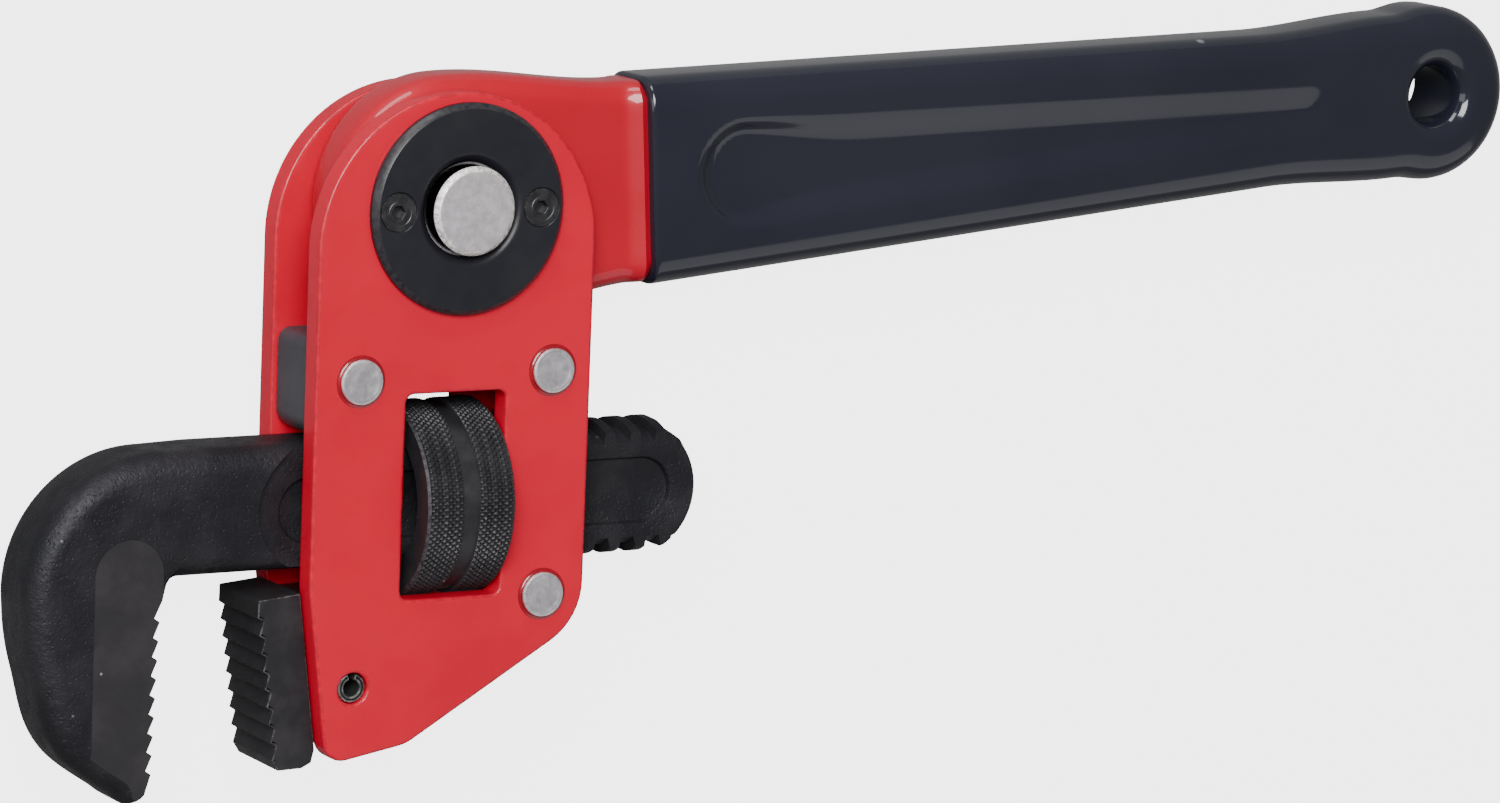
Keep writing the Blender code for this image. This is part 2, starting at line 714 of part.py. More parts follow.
def hook_back():
    """The hook's outer side from its widest point to the toe: an arc that swells a little over the toe."""
    points = []
    for degrees in range(184, 233, 4):
        swell = 1.5 * math.sin(math.radians(max(degrees - 196, 0) * 180 / 38)) ** 2
        points += arc((-32.2, -60.6), 39.7 + swell, degrees, degrees, 1)[:1]
    return points


def hook_outline():
    """The hook's side outline with a share of the edge rounding at each point."""
    top = [(x, -37.3, 1.0) for x in (-17.0, -24.0, -30.0, -37.0, -44.0)]
    bend = [(x, y, 1.0) for x, y in arc((-49.6, -60.0), 22.4, 90.0, 180.0, 14)]
    back = [(x, y, 1.0) for x, y in hook_back()]
    tip = [(-54.2, -93.6, 0.6), (-52.6, -93.2, 0.3), (-51.5, -91.8, 0.1)]
    teeth = [(x, y, 0.05) for x, y in tooth_row(HOOK_TIP_TOP, HOOK_TIP_BOTTOM, HOOK_TEETH, -1.05, 2.35)]
    throat = [(-50.6, -63.4, 0.05), (-49.2, -60.8, 0.1), (-48.6, -59.0, 0.2), (-47.9, -58.1, 0.4)]
    under = [(-46.4, -57.6, 0.7), (-43.0, -57.6, 0.8), (-37.0, -57.6, 0.8), (-30.0, -57.6, 0.8)]
    under += [(-24.0, -57.6, 0.9), (-17.0, -57.6, 0.9)]
    return [*top, *bend, *back, *tip, *teeth[::-1], *throat, *under]


def rounded_slab(outline, half, edge):
    """A slab whose rim is rounded by each outline point's share of the edge radius."""
    bm = bmesh.new()
    count = len(outline)
    inward = []
    for i, (x, y, share) in enumerate(outline):
        ahead = Vector(outline[(i + 1) % count][:2])
        behind = Vector(outline[i - 1][:2])
        along = (ahead - behind).normalized()
        inward.append((-along.y * share * edge, along.x * share * edge))
    turns = 4
    levels = [math.pi / 2 * k / turns for k in range(turns + 1)]
    heights = [(1 - math.cos(a), half - edge + edge * math.sin(a)) for a in levels]
    heights = [(inset, -z) for inset, z in reversed(heights)] + heights
    loops = []
    for inset, z in heights:
        points = [(x + dx * inset, y + dy * inset) for (x, y, _), (dx, dy) in zip(outline, inward)]
        loops.append(ring(bm, points, z))
    for low, high in zip(loops, loops[1:]):
        band(bm, low, high)
    lid(bm, loops[0])
    lid(bm, loops[-1])
    return bm


def stadium(start, end, y, radius, low, high, steps=12):
    """A long slot-shaped prism along X."""
    outline = arc((end, y), radius, -90.0, 90.0, steps) + arc((start, y), radius, 90.0, 270.0, steps)
    return prism(outline, low, high)


def add_hook_jaw(hook):
    """The hook jaw: forged hook and a flat-sided threaded shank in one piece, about the shank's axis."""
    steel = material("phosphated hook steel", (0.028, 0.029, 0.032), 0.55, 0.45)
    lift = (0.0, -SHANK_Y, 0.0)
    jaw = piece("hook_jaw", rounded_slab(hook_outline(), JAW_HALF, 4.0), steel, hook, lift)
    rod_bm = threaded_rod(SHANK_ROUND, SHANK_ROOT, GROOVE_FLOOR, GROOVE_FLANK, THREAD_START, THREAD_TURNS)
    combine(jaw, rod_bm, "UNION", solver="MANIFOLD")
    centre = SHANK_END - SHANK_ROUND
    keep = [(-90.0, 15.0), (-90.0, -50.0), (-16.0, -50.0), (-15.0, -12.5), (centre, -12.5)]
    keep += arc((centre, 0.0), SHANK_ROUND, -90.0, 35.0, 12)
    keep += [(43.0, 8.0), (41.0, 10.0), (39.6, 11.2), (39.3, 12.5)]
    combine(jaw, prism(keep, -14.0, 14.0), "INTERSECT", solver="MANIFOLD")
    start, radius = RUN_OUT
    for low, high in ((SHANK_FLAT, 12.5), (-12.5, -SHANK_FLAT)):
        combine(jaw, stadium(start, 70.0, 0.4, radius, low, high), "DIFFERENCE", solver="MANIFOLD")
    for low, high in ((PANEL_FLOOR, 9.0), (-9.0, -PANEL_FLOOR)):
        combine(jaw, stadium(*PANEL_ENDS, -0.1, PANEL_ROUND, low, high, 8), "DIFFERENCE", solver="MANIFOLD")


def add_nut(nut):
    """The adjusting nut, about its own axis: two bands with a groove between, threaded inside."""
    steel = material("blackened nut steel", (0.03, 0.031, 0.034), 0.45, 0.6)
    rim = NUT_ROUND - NUT_CHAMFER
    outer = [
        (rim, -NUT_HALF),
        (NUT_ROUND, -NUT_HALF + NUT_CHAMFER),
        (NUT_ROUND, -NUT_GROOVE_HALF),
        (NUT_ROUND - NUT_GROOVE_DEPTH, -NUT_GROOVE_HALF + 0.1),
    ]
    profile = [(0.0, -NUT_HALF), *outer, *[(r, -z) for r, z in reversed(outer)], (0.0, NUT_HALF)]
    bm = turned(profile, 48)
    bm.transform(Matrix.Rotation(math.pi / 2, 4, "Y"))
    made = piece("adjusting_nut", bm, steel, nut)
    start = THREAD_START + PITCH - NUT_CENTRE
    tap = threaded_rod(
        SHANK_ROUND + RUN_GAP,
        SHANK_ROOT + RUN_GAP,
        GROOVE_FLOOR - 0.5,
        GROOVE_FLANK,
        start,
        9,
    )
    combine(made, tap, "DIFFERENCE")


def main():
    for old in list(bpy.data.objects):
        bpy.data.objects.remove(old, do_unlink=True)
    head = frame("head_frame", None, PIVOT)
    add_plates(head)
    add_caps(head)
    add_rivets(head)
    add_blocks(head)
    add_jaw_spring(head)
    add_heel_jaw(head)
    add_heel_pin(head)
    handle = frame("handle_frame", head, (0.0, 0.0, 0.0), HANDLE_TILT)
    add_handle(handle)
    add_grip(handle)
    add_lock_spring(handle)
    add_lock_pin(frame("button_frame", handle, (0.0, 0.0, 0.0)))
    add_hook_jaw(frame("hook_frame", head, (0.0, SHANK_Y, 0.0)))
    add_nut(frame("nut_frame", head, (NUT_CENTRE, SHANK_Y, 0.0)))


main()
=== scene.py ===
"""Looks of the swivel-head pipe wrench.

Each sub-assembly is a class that builds its pieces in millimetres from the handle's pivot,
with X along the hook jaw's shank, Y up the head and Z towards the push button, and then
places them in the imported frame.
"""

import json
import logging
import math
from collections.abc import Callable, Iterable, Sequence
from dataclasses import dataclass, field
from enum import Enum

import bmesh
import bpy
from mathutils import Matrix, Vector


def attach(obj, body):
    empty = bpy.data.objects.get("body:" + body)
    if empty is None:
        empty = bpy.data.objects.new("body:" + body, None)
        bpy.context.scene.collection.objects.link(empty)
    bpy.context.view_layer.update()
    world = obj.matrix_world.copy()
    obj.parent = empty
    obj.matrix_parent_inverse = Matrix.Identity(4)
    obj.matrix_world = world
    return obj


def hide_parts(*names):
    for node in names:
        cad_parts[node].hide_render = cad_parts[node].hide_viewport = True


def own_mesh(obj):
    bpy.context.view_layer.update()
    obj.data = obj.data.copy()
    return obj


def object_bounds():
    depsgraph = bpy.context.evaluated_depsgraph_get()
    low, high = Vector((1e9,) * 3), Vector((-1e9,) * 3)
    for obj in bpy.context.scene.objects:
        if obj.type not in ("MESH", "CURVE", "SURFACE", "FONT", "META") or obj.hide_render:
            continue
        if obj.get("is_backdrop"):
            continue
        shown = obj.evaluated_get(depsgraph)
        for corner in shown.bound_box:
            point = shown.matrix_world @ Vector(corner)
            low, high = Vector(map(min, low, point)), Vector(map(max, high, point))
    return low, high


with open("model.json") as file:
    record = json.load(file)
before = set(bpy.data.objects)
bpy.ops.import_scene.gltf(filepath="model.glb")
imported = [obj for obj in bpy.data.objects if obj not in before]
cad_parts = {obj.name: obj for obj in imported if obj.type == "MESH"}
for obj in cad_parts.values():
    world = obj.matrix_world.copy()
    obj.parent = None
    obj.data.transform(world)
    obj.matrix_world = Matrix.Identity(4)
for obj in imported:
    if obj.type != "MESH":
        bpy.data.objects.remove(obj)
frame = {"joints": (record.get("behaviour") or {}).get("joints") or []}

LOG = logging.getLogger("pipe_wrench")
MM = 0.001
FLAT = tuple[float, float]


class Body(Enum):
    """The wrench's moving bodies."""

    HEAD = "head"
    HANDLE = "handle"
    BUTTON = "button"
    HOOK = "hook"
    NUT = "nut"


def joint_place(name: str) -> Vector:
    """A hinge's place at rest.

    Args:
        name: the joint's name.

    Returns:
        The place in millimetres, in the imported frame.
    """
    found = next(joint for joint in frame["joints"] if joint["name"] == name)
    return Vector(found["pos_m"]) / MM


PIVOT = joint_place("handle_swing")
NUT_PLACE = joint_place("nut_turn") - PIVOT


# ---------------------------------------------------------------- outlines


def arc(centre: FLAT, radius: float, start: float, end: float, steps: int) -> list[FLAT]:
    """Points along an arc.

    Args:
        centre: the arc's centre.
        radius: its radius.
        start: first angle in degrees.
        end: last angle in degrees.
        steps: how many chords it has.

    Returns:
        The points, both ends included.
    """
    turns = [math.radians(start + (end - start) * i / steps) for i in range(steps + 1)]
    return [(centre[0] + radius * math.cos(t), centre[1] + radius * math.sin(t)) for t in turns]


def circle(centre: FLAT, radius: float, steps: int) -> list[FLAT]:
    """Points round a circle, anticlockwise.

    Args:
        centre: the circle's centre.
        radius: its radius.
        steps: how many points.

    Returns:
        The points, the first not repeated.
    """
    return arc(centre, radius, 0.0, 360.0, steps)[:-1]


def rounded(corners: Sequence[tuple[float, float, float]], steps: int = 8) -> list[FLAT]:
    """A closed outline with rounded corners.

    Args:
        corners: x, y and radius of each corner.
        steps: chords in each corner.

    Returns:
        The outline's points.
    """
    points: list[FLAT] = []
    for i, (x, y, radius) in enumerate(corners):
        here = Vector((x, y))
        before = (Vector(corners[i - 1][:2]) - here).normalized()
        after = (Vector(corners[(i + 1) % len(corners)][:2]) - here).normalized()
        if radius <= 0.0:
            points.append((x, y))
            continue
        half = before.angle(after) / 2
        middle = here + (before + after).normalized() * (radius / math.sin(half))
        first = here + before * (radius / math.tan(half)) - middle
        last = here + after * (radius / math.tan(half)) - middle
        turn = math.atan2(first.x * last.y - first.y * last.x, first.dot(last))
        for k in range(steps + 1):
            spot = middle + Matrix.Rotation(turn * k / steps, 2) @ first
            points.append((spot.x, spot.y))
    return points


def resampled(points: Sequence[FLAT], step: float) -> list[FLAT]:
    """The same closed outline with long chords cut into shorter ones.

    Args:
        points: the outline.
        step: the longest chord allowed.

    Returns:
        The finer outline.
    """
    finer: list[FLAT] = []
    for i, (x, y) in enumerate(points):
        nx, ny = points[(i + 1) % len(points)]
        count = max(1, math.ceil(math.hypot(nx - x, ny - y) / step))
        finer.extend((x + (nx - x) * k / count, y + (ny - y) * k / count) for k in range(count))
    return finer


def inward(points: Sequence[FLAT]) -> list[FLAT]:
    """Mitred steps to the left of an outline's direction, one for each point.

    Args:
        points: a closed outline.

    Returns:
        One step for each point, for a unit inset.
    """
    steps: list[FLAT] = []
    for i, here in enumerate(points):
        before = Vector(here) - Vector(points[i - 1])
        after = Vector(points[(i + 1) % len(points)]) - Vector(here)
        before.normalize()
        after.normalize()
        normal = Vector((-before.y - after.y, before.x + after.x))
        normal.normalize()
        miter = max(normal.dot(Vector((-after.y, after.x))), 0.5)
        steps.append((normal.x / miter, normal.y / miter))
    return steps


def smooth_step(value: float) -> float:
    """Eases from 0 to 1.

    Args:
        value: any number, clamped to 0 and 1.

    Returns:
        The eased share.
    """
    value = min(max(value, 0.0), 1.0)
    return value * value * (3 - 2 * value)


# ---------------------------------------------------------------- solids


EDGE = "edge"


def worn(bm: bmesh.types.BMesh) -> bmesh.types.BMLayerItem:
    """The layer that marks a solid's worn edges, from 0 to 1.

    Args:
        bm: the solid.

    Returns:
        The layer, made if it isn't there yet.
    """
    return bm.verts.layers.float.get(EDGE) or bm.verts.layers.float.new(EDGE)


def ring(
    bm: bmesh.types.BMesh, points: Iterable[FLAT], z: float, edge: float = 0.0
) -> list[bmesh.types.BMVert]:
    """Vertices of a closed outline at one height, all as worn as edge says.

    Args:
        bm: the solid that gets the vertices.
        points: the outline.
        z: its height.
        edge: how worn it is, from 0 to 1.

    Returns:
        The vertices, in the outline's order.
    """
    layer = worn(bm)
    made = []
    for x, y in points:
        vert = bm.verts.new((x, y, z))
        vert[layer] = edge
        made.append(vert)
    return made


def band(
    bm: bmesh.types.BMesh, low: Sequence[bmesh.types.BMVert], high: Sequence[bmesh.types.BMVert]
) -> None:
    """Quads between two rings of the same length.

    Args:
        bm: the solid that gets the faces.
        low: the first ring.
        high: the second ring.
    """
    for i in range(len(low)):
        j = (i + 1) % len(low)
        bm.faces.new((low[i], low[j], high[j], high[i]))


def lid(bm: bmesh.types.BMesh, *rings: Sequence[bmesh.types.BMVert]) -> None:
    """A flat face bounded by the first ring, with the others as holes.

    Args:
        bm: the solid that gets the face.
        rings: the outer ring, then one for each hole.
    """
    edges = []
    for loop in rings:
        for i, vert in enumerate(loop):
            pair = (vert, loop[(i + 1) % len(loop)])
            edges.append(bm.edges.get(pair) or bm.edges.new(pair))
    bmesh.ops.triangle_fill(bm, use_beauty=True, use_dissolve=False, edges=edges)


def slab(
    outline: Sequence[FLAT],
    low: float,
    high: float,
    edge: float,
    holes: Sequence[Sequence[FLAT]] = (),
    turns: int = 3,
) -> bmesh.types.BMesh:
    """A flat plate with rounded rims round its outline and its holes.

    Args:
        outline: the outer outline, anticlockwise.
        low: the lower face's height.
        high: the upper face's height.
        edge: the rims' radius.
        holes: outlines of holes through it, anticlockwise.
        turns: facets in each rim.

    Returns:
        The solid.
    """
    bm = bmesh.new()
    margin = min(0.35, (high - low) / 4)
    levels = []
    for k in range(turns + 1):
        angle = math.pi / 2 * k / turns
        levels.append((edge * (1 - math.cos(angle)), edge * (1 - math.sin(angle)), 1.0))
    rims = [(edge + margin, 0.0, 0.0), *levels[::-1], (0.0, edge + margin, 0.0)]
    profile = [(inset, low + drop, mark) for inset, drop, mark in rims]
    profile += [(inset, high - drop, mark) for inset, drop, mark in reversed(rims)]
    bottoms, tops = [], []
    for loop in (outline, *[list(hole)[::-1] for hole in holes]):
        steps = inward(loop)
        rings = []
        for inset, z, mark in profile:
            spots = [(x + dx * inset, y + dy * inset) for (x, y), (dx, dy) in zip(loop, steps)]
            rings.append(ring(bm, spots, z, mark))
        for below, above in zip(rings, rings[1:]):
            band(bm, below, above)
        bottoms.append(rings[0])
        tops.append(rings[-1])
    lid(bm, *bottoms)
    lid(bm, *tops)
    return bm


def prism(outline: Sequence[FLAT], low: float, high: float) -> bmesh.types.BMesh:
    """A plain slab with sharp rims.

    Args:
        outline: the outline, anticlockwise.
        low: the lower height.
        high: the upper height.

    Returns:
        The solid.
    """
    bm = bmesh.new()
    bottom, top = ring(bm, outline, low), ring(bm, outline, high)
    band(bm, bottom, top)
    lid(bm, bottom)
    lid(bm, top)
    return bm


def turned(profile: Sequence[tuple[float, ...]], steps: int, closed: bool = False) -> bmesh.types.BMesh:
    """A solid turned about Z.

    Args:
        profile: radius, z and, where worn, the wear of each point.
        steps: chords in a full turn.
        closed: whether the section closes on itself, as on a ring, instead of ending on the axis.

    Returns:
        The solid.
    """
    bm = bmesh.new()
    loops = []
    for radius, z, *wear in profile:
        mark = wear[0] if wear else 0.0
        spots = [(0.0, 0.0)] if radius == 0.0 else circle((0.0, 0.0), radius, steps)
        loops.append(ring(bm, spots, z, mark))
    pairs = list(zip(loops, loops[1:]))
    if closed:
        pairs.append((loops[-1], loops[0]))
    for low, high in pairs:
        if len(low) > 1 and len(high) > 1:
            band(bm, low, high)
            continue
        pole, rim = (low[0], high) if len(low) == 1 else (high[0], low)
        for i in range(steps):
            bm.faces.new((pole, rim[i], rim[(i + 1) % steps]))
    return bm


def stadium(start: float, end: float, y: float, radius: float, low: float, high: float) -> bmesh.types.BMesh:
    """A slot-shaped cutter along X from start to end.

    Args:
        start: the first end's centre along X.
        end: the second end's centre along X.
        y: the slot's middle.
        radius: its half width.
        low: the lower height.
        high: the upper height.

    Returns:
        The solid.
    """
    outline = arc((end, y), radius, -90.0, 90.0, 28) + arc((start, y), radius, 90.0, 270.0, 28)
    return prism(outline, low, high)


def mesh_object(
    name: str, bm: bmesh.types.BMesh, tilt: float = 0.0, place: Vector | None = None
) -> bpy.types.Object:
    """An object at the origin whose mesh stands where the piece belongs.

    Args:
        name: the object's name.
        bm: the solid in millimetres from the pivot, freed here.
        tilt: a turn about the pivot in radians, for the handle's pieces.
        place: a shift in millimetres before the turn.

    Returns:
        The new object.
    """
    bmesh.ops.remove_doubles(bm, verts=bm.verts, dist=0.0005)
    bmesh.ops.recalc_face_normals(bm, faces=bm.faces)
    if bm.calc_volume(signed=True) < 0.0:
        bmesh.ops.reverse_faces(bm, faces=bm.faces)
    shift = Matrix.Translation(place or Vector())
    bm.transform(Matrix.Scale(MM, 4) @ Matrix.Translation(PIVOT) @ Matrix.Rotation(tilt, 4, "Z") @ shift)
    mesh = bpy.data.meshes.new(name)
    bm.to_mesh(mesh)
    bm.free()
    made = bpy.data.objects.new(name, mesh)
    bpy.context.scene.collection.objects.link(made)
    return made


def settled(made: bpy.types.Object) -> bpy.types.Object:
    """Makes an object's modifiers part of its plain mesh and removes them.

    Args:
        made: the object, with its modifiers.

    Returns:
        The same object, plain.
    """
    graph = bpy.context.evaluated_depsgraph_get()
    graph.update()
    mesh = bpy.data.meshes.new_from_object(made.evaluated_get(graph))
    made.modifiers.clear()
    made.data = mesh
    return made


class Joining(Enum):
    """How a helper solid changes a piece."""

    ADD = "UNION"
    CUT = "DIFFERENCE"
    KEEP = "INTERSECT"


def combine(made: bpy.types.Object, helper: bpy.types.Object, joining: Joining) -> None:
    """Changes a piece's mesh by a helper solid, which is then removed.

    Args:
        made: the piece.
        helper: the solid that is added, cut away or kept to.
        joining: which of those it is.
    """
    modifier = made.modifiers.new("Join", "BOOLEAN")
    modifier.operation = joining.value
    modifier.solver = "MANIFOLD"
    modifier.object = helper
    settled(made)
    bpy.data.objects.remove(helper, do_unlink=True)


# ---------------------------------------------------------------- shader groups


class Nodes:
    """Short calls for building a node tree."""

    def __init__(self, tree: bpy.types.NodeTree) -> None:
        """Keeps the tree that the calls add to.

        Args:
            tree: the node tree.
        """
        self.tree = tree

    def add(self, kind: str, settings: dict[str, object] | None = None, **values: object) -> bpy.types.Node:
        """Adds a node.

        Args:
            kind: its type.
            settings: attributes of the node itself.
            **values: input name, with _ for a space, to a value or an output socket.

        Returns:
            The node.
        """
        node = self.tree.nodes.new(kind)
        for key, value in (settings or {}).items():
            setattr(node, key, value)
        for key, value in values.items():
            self.put(node, int(key[1:]) if key[1:].isdigit() else key.replace("_", " "), value)
        return node

    def put(self, node: bpy.types.Node, socket: str | int, value: object) -> None:
        """Sets an input to a value, or links an output to it.

        Args:
            node: the node.
            socket: its input, by name or number.
            value: a plain value, or an output to link.
        """
        target = node.inputs[socket]
        if isinstance(value, bpy.types.NodeSocket):
            self.tree.links.new(value, target)
        else:
            target.default_value = value

    def math(
        self, operation: str, first: object, second: object = 0.0, third: object = 0.0
    ) -> bpy.types.NodeSocket:
        """Adds a Math node and returns its output.

        Args:
            operation: the node's operation.
            first: its first input.
            second: its second input.
            third: its third input.

        Returns:
            The node's value.
        """
        node = self.add("ShaderNodeMath", {"operation": operation})
        for i, value in enumerate((first, second, third)):
            self.put(node, i, value)
        return node.outputs[0]

    def mix(self, share: object, first: object, second: object) -> bpy.types.NodeSocket:
        """Adds a colour mix and returns its output.

        Args:
            share: how much of the second colour.
            first: the first colour.
            second: the second colour.

        Returns:
            The mixed colour.
        """
        node = self.add("ShaderNodeMix", {"data_type": "RGBA"})
        for socket, value in ((0, share), (6, first), (7, second)):
            self.put(node, socket, value)
        return node.outputs[2]

    def ramp(
        self, value: object, low: object, high: object, to_low: float = 0.0, to_high: float = 1.0
    ) -> bpy.types.NodeSocket:
        """Adds a smooth clamped Map Range and returns its output.

        Args:
            value: the input.
            low: where the ramp starts.
            high: where it ends.
            to_low: the result at its start.
            to_high: the result at its end.

        Returns:
            The mapped value.
        """
        node = self.add("ShaderNodeMapRange", {"interpolation_type": "SMOOTHSTEP"})
        for i, part in enumerate((value, low, high, to_low, to_high)):
            self.put(node, i, part)
        return node.outputs[0]

    def noise(
        self, where: object, scale: object, detail: float = 3.0, roughness: float = 0.55
    ) -> bpy.types.NodeSocket:
        """Adds a Noise Texture and returns its value.

        Args:
            where: the place to sample.
            scale: the noise's scale.
            detail: its octaves.
            roughness: how strong the fine octaves are.

        Returns:
            The noise, from 0 to 1.
        """
        node = self.add("ShaderNodeTexNoise", Vector=where, Scale=scale, Detail=detail, Roughness=roughness)
        return node.outputs["Fac"]


def shader_group(
    name: str, inputs: dict[str, float], build: Callable[[Nodes, bpy.types.Node], bpy.types.NodeSocket]
) -> bpy.types.NodeTree:
    """A node group with a Vector input, named number inputs and one output called Value.

    Args:
        name: the group's name.
        inputs: each number input and its value where none is given.
        build: adds the nodes and returns the result's socket.

    Returns:
        The group.
    """
    tree = bpy.data.node_groups.new(name, "ShaderNodeTree")
    tree.interface.new_socket("Vector", in_out="INPUT", socket_type="NodeSocketVector")
    for key, value in inputs.items():
        socket = tree.interface.new_socket(key, in_out="INPUT", socket_type="NodeSocketFloat")
        socket.default_value = value
    tree.interface.new_socket("Value", in_out="OUTPUT", socket_type="NodeSocketFloat")
    start = tree.nodes.new("NodeGroupInput")
    end = tree.nodes.new("NodeGroupOutput")
    nodes = Nodes(tree)
    nodes.put(end, "Value", build(nodes, start))
    return tree


def build_specks(nodes: Nodes, start: bpy.types.Node) -> bpy.types.NodeSocket:
    """Small scattered dust specks: 1 on a speck, 0 between.

    Args:
        nodes: the group's nodes.
        start: the group's input node.

    Returns:
        The mask.
    """
    cells = nodes.add("ShaderNodeTexVoronoi", Vector=start.outputs["Vector"], Scale=start.outputs["Scale"])
    near = nodes.ramp(cells.outputs["Distance"], 0.02, start.outputs["Size"], 1.0, 0.0)
    pick = nodes.add("ShaderNodeSeparateColor", Color=cells.outputs["Color"])
    few = nodes.math("LESS_THAN", pick.outputs[0], start.outputs["Amount"])
    return nodes.math("MULTIPLY", near, few)


def build_grain(nodes: Nodes, start: bpy.types.Node) -> bpy.types.NodeSocket:
    """Fine surface grain over a slow unevenness, as a height from 0 to 1.

    Args:
        nodes: the group's nodes.
        start: the group's input node.

    Returns:
        The height.
    """
    where = start.outputs["Vector"]
    fine = nodes.noise(where, start.outputs["Scale"], 4.0, 0.6)
    slow = nodes.noise(where, nodes.math("MULTIPLY", start.outputs["Scale"], 0.12), 2.0)
    pits = nodes.add("ShaderNodeTexVoronoi", Vector=where, Scale=start.outputs["Scale"]).outputs["Distance"]
    body = nodes.math("MULTIPLY_ADD", slow, 0.8, fine)
    return nodes.math("MULTIPLY_ADD", nodes.ramp(pits, 0.0, 0.35), start.outputs["Pits"], body)


def build_wear(nodes: Nodes, start: bpy.types.Node) -> bpy.types.NodeSocket:
    """Broken wear along the marked edges: 1 where the finish has gone. On the button's chamfer, whose bare
    tone is near-white, it also paints a highlight.

    Args:
        nodes: the group's nodes.
        start: the group's input node.

    Returns:
        The mask.
    """
    mark = nodes.add("ShaderNodeAttribute", {"attribute_name": EDGE}).outputs["Fac"]
    ragged = nodes.noise(start.outputs["Vector"], start.outputs["Scale"], 4.0, 0.65)
    reach = nodes.math("MULTIPLY_ADD", ragged, 1.6, nodes.math("SUBTRACT", mark, 1.75))
    return nodes.math("MULTIPLY", nodes.ramp(reach, -0.15, 0.2), start.outputs["Amount"])


def build_rim_highlight(nodes: Nodes, start: bpy.types.Node) -> bpy.types.NodeSocket:
    """A painted highlight: a broken bright line where a rounded rim turns from the side to the edge, placed
    by the normal's lean.

    Args:
        nodes: the group's nodes.
        start: the group's input node.

    Returns:
        The mask.
    """
    normal = nodes.add("ShaderNodeSeparateXYZ", Vector=nodes.add("ShaderNodeNewGeometry").outputs["Normal"])
    lean = nodes.math("ABSOLUTE", normal.outputs["Z"])
    rise = nodes.ramp(lean, 0.5, 0.8)
    fall = nodes.ramp(lean, 0.85, 0.995, 1.0, 0.0)
    ragged = nodes.ramp(nodes.noise(start.outputs["Vector"], start.outputs["Scale"], 5.0, 0.7), 0.5, 0.72)
    line = nodes.math("MULTIPLY", nodes.math("MULTIPLY", rise, fall), ragged)
    return nodes.math("MULTIPLY", line, start.outputs["Amount"])


SPECKS = shader_group("dust_specks", {"Scale": 300.0, "Size": 0.12, "Amount": 0.05}, build_specks)
GRAIN = shader_group("surface_grain", {"Scale": 900.0, "Pits": 0.3}, build_grain)
WEAR = shader_group("edge_wear", {"Scale": 900.0, "Amount": 1.0}, build_wear)
# The hook's rim line is a painted highlight, drawn in the same bare tone as the edge wear.
RIM_HIGHLIGHT = shader_group("rim_painted_highlight", {"Scale": 1500.0, "Amount": 1.0}, build_rim_highlight)


# ---------------------------------------------------------------- finishes


Colour = tuple[float, float, float]


@dataclass(frozen=True)
class Finish:
    """A procedural finish: two mixed tones, worn edges, dust, grain in roughness and relief, and on the hook
    a painted highlight line along the rounded rims.
    """

    name: str
    slot: str
    tone: Colour
    second: Colour
    bare: Colour
    roughness: tuple[float, float]
    metallic: float = 0.0
    coat: float = 0.0
    coat_roughness: float = 0.05
    cloud_scale: float = 60.0
    grain_scale: float = 900.0
    grain_depth: float = 0.02
    pits: float = 0.3
    wear: float = 0.6
    # Strength of a painted highlight line along rounded rims; nought for none.
    rim_highlight: float = 0.0
    dust: float = 0.05
    dust_scale: float = 260.0
    dust_tone: Colour = (0.55, 0.54, 0.53)
    specular: float = 0.5

    def build(self) -> bpy.types.Material:
        """Makes the material.

        Returns:
            The material, ready for any piece whose Object coordinates are metres in the frame.
        """
        made = bpy.data.materials.new(self.name)
        made.use_nodes = True
        nodes = Nodes(made.node_tree)
        shader = made.node_tree.nodes["Principled BSDF"]
        where = nodes.add("ShaderNodeTexCoord").outputs["Object"]
        cloud = nodes.ramp(nodes.noise(where, self.cloud_scale, 5.0), 0.38, 0.66)
        colour = nodes.mix(cloud, (*self.tone, 1.0), (*self.second, 1.0))
        # Edge wear; on the button's chamfer, with its near-white bare tone, it also paints a highlight.
        wear_and_highlight_mask = self.group(nodes, WEAR, where, Scale=self.grain_scale, Amount=self.wear)
        # Painted highlight line along rounded rims, merged into the wear mask so it takes the bare tone.
        if self.rim_highlight > 0.0:
            line = self.group(nodes, RIM_HIGHLIGHT, where, Scale=self.grain_scale * 0.8, Amount=self.rim_highlight)
            wear_and_highlight_mask = nodes.math("MAXIMUM", wear_and_highlight_mask, line)
        colour = nodes.mix(wear_and_highlight_mask, colour, (*self.bare, 1.0))
        specks = self.group(nodes, SPECKS, where, Scale=self.dust_scale, Amount=self.dust, Size=0.13)
        colour = nodes.mix(specks, colour, (*self.dust_tone, 1.0))
        height = self.group(nodes, GRAIN, where, Scale=self.grain_scale, Pits=self.pits)
        low, high = self.roughness
        rough = nodes.ramp(nodes.noise(where, self.grain_scale * 0.25, 4.0), 0.3, 0.7, low, high)
        bump = nodes.add("ShaderNodeBump", Height=height, Distance=self.grain_depth * MM, Strength=1.0)
        nodes.put(shader, "Base Color", colour)
        nodes.put(shader, "Roughness", nodes.math("MAXIMUM", rough, nodes.math("MULTIPLY", specks, 0.7)))
        nodes.put(shader, "Normal", bump.outputs[0])
        shader.inputs["Metallic"].default_value = self.metallic
        shader.inputs["Coat Weight"].default_value = self.coat
        shader.inputs["Coat Roughness"].default_value = self.coat_roughness
        shader.inputs["Specular IOR Level"].default_value = self.specular
        return made

    @staticmethod
    def group(
        nodes: Nodes, tree: bpy.types.NodeTree, where: bpy.types.NodeSocket, **values: float
    ) -> bpy.types.NodeSocket:
        """Adds a shared group with its own values and returns its output.

        Args:
            nodes: the material's nodes.
            tree: the shared group.
            where: the place to sample.
            values: the group's other inputs.

        Returns:
            The group's value.
        """
        node = nodes.add("ShaderNodeGroup", {"node_tree": tree}, Vector=where, **values)
        return node.outputs["Value"]


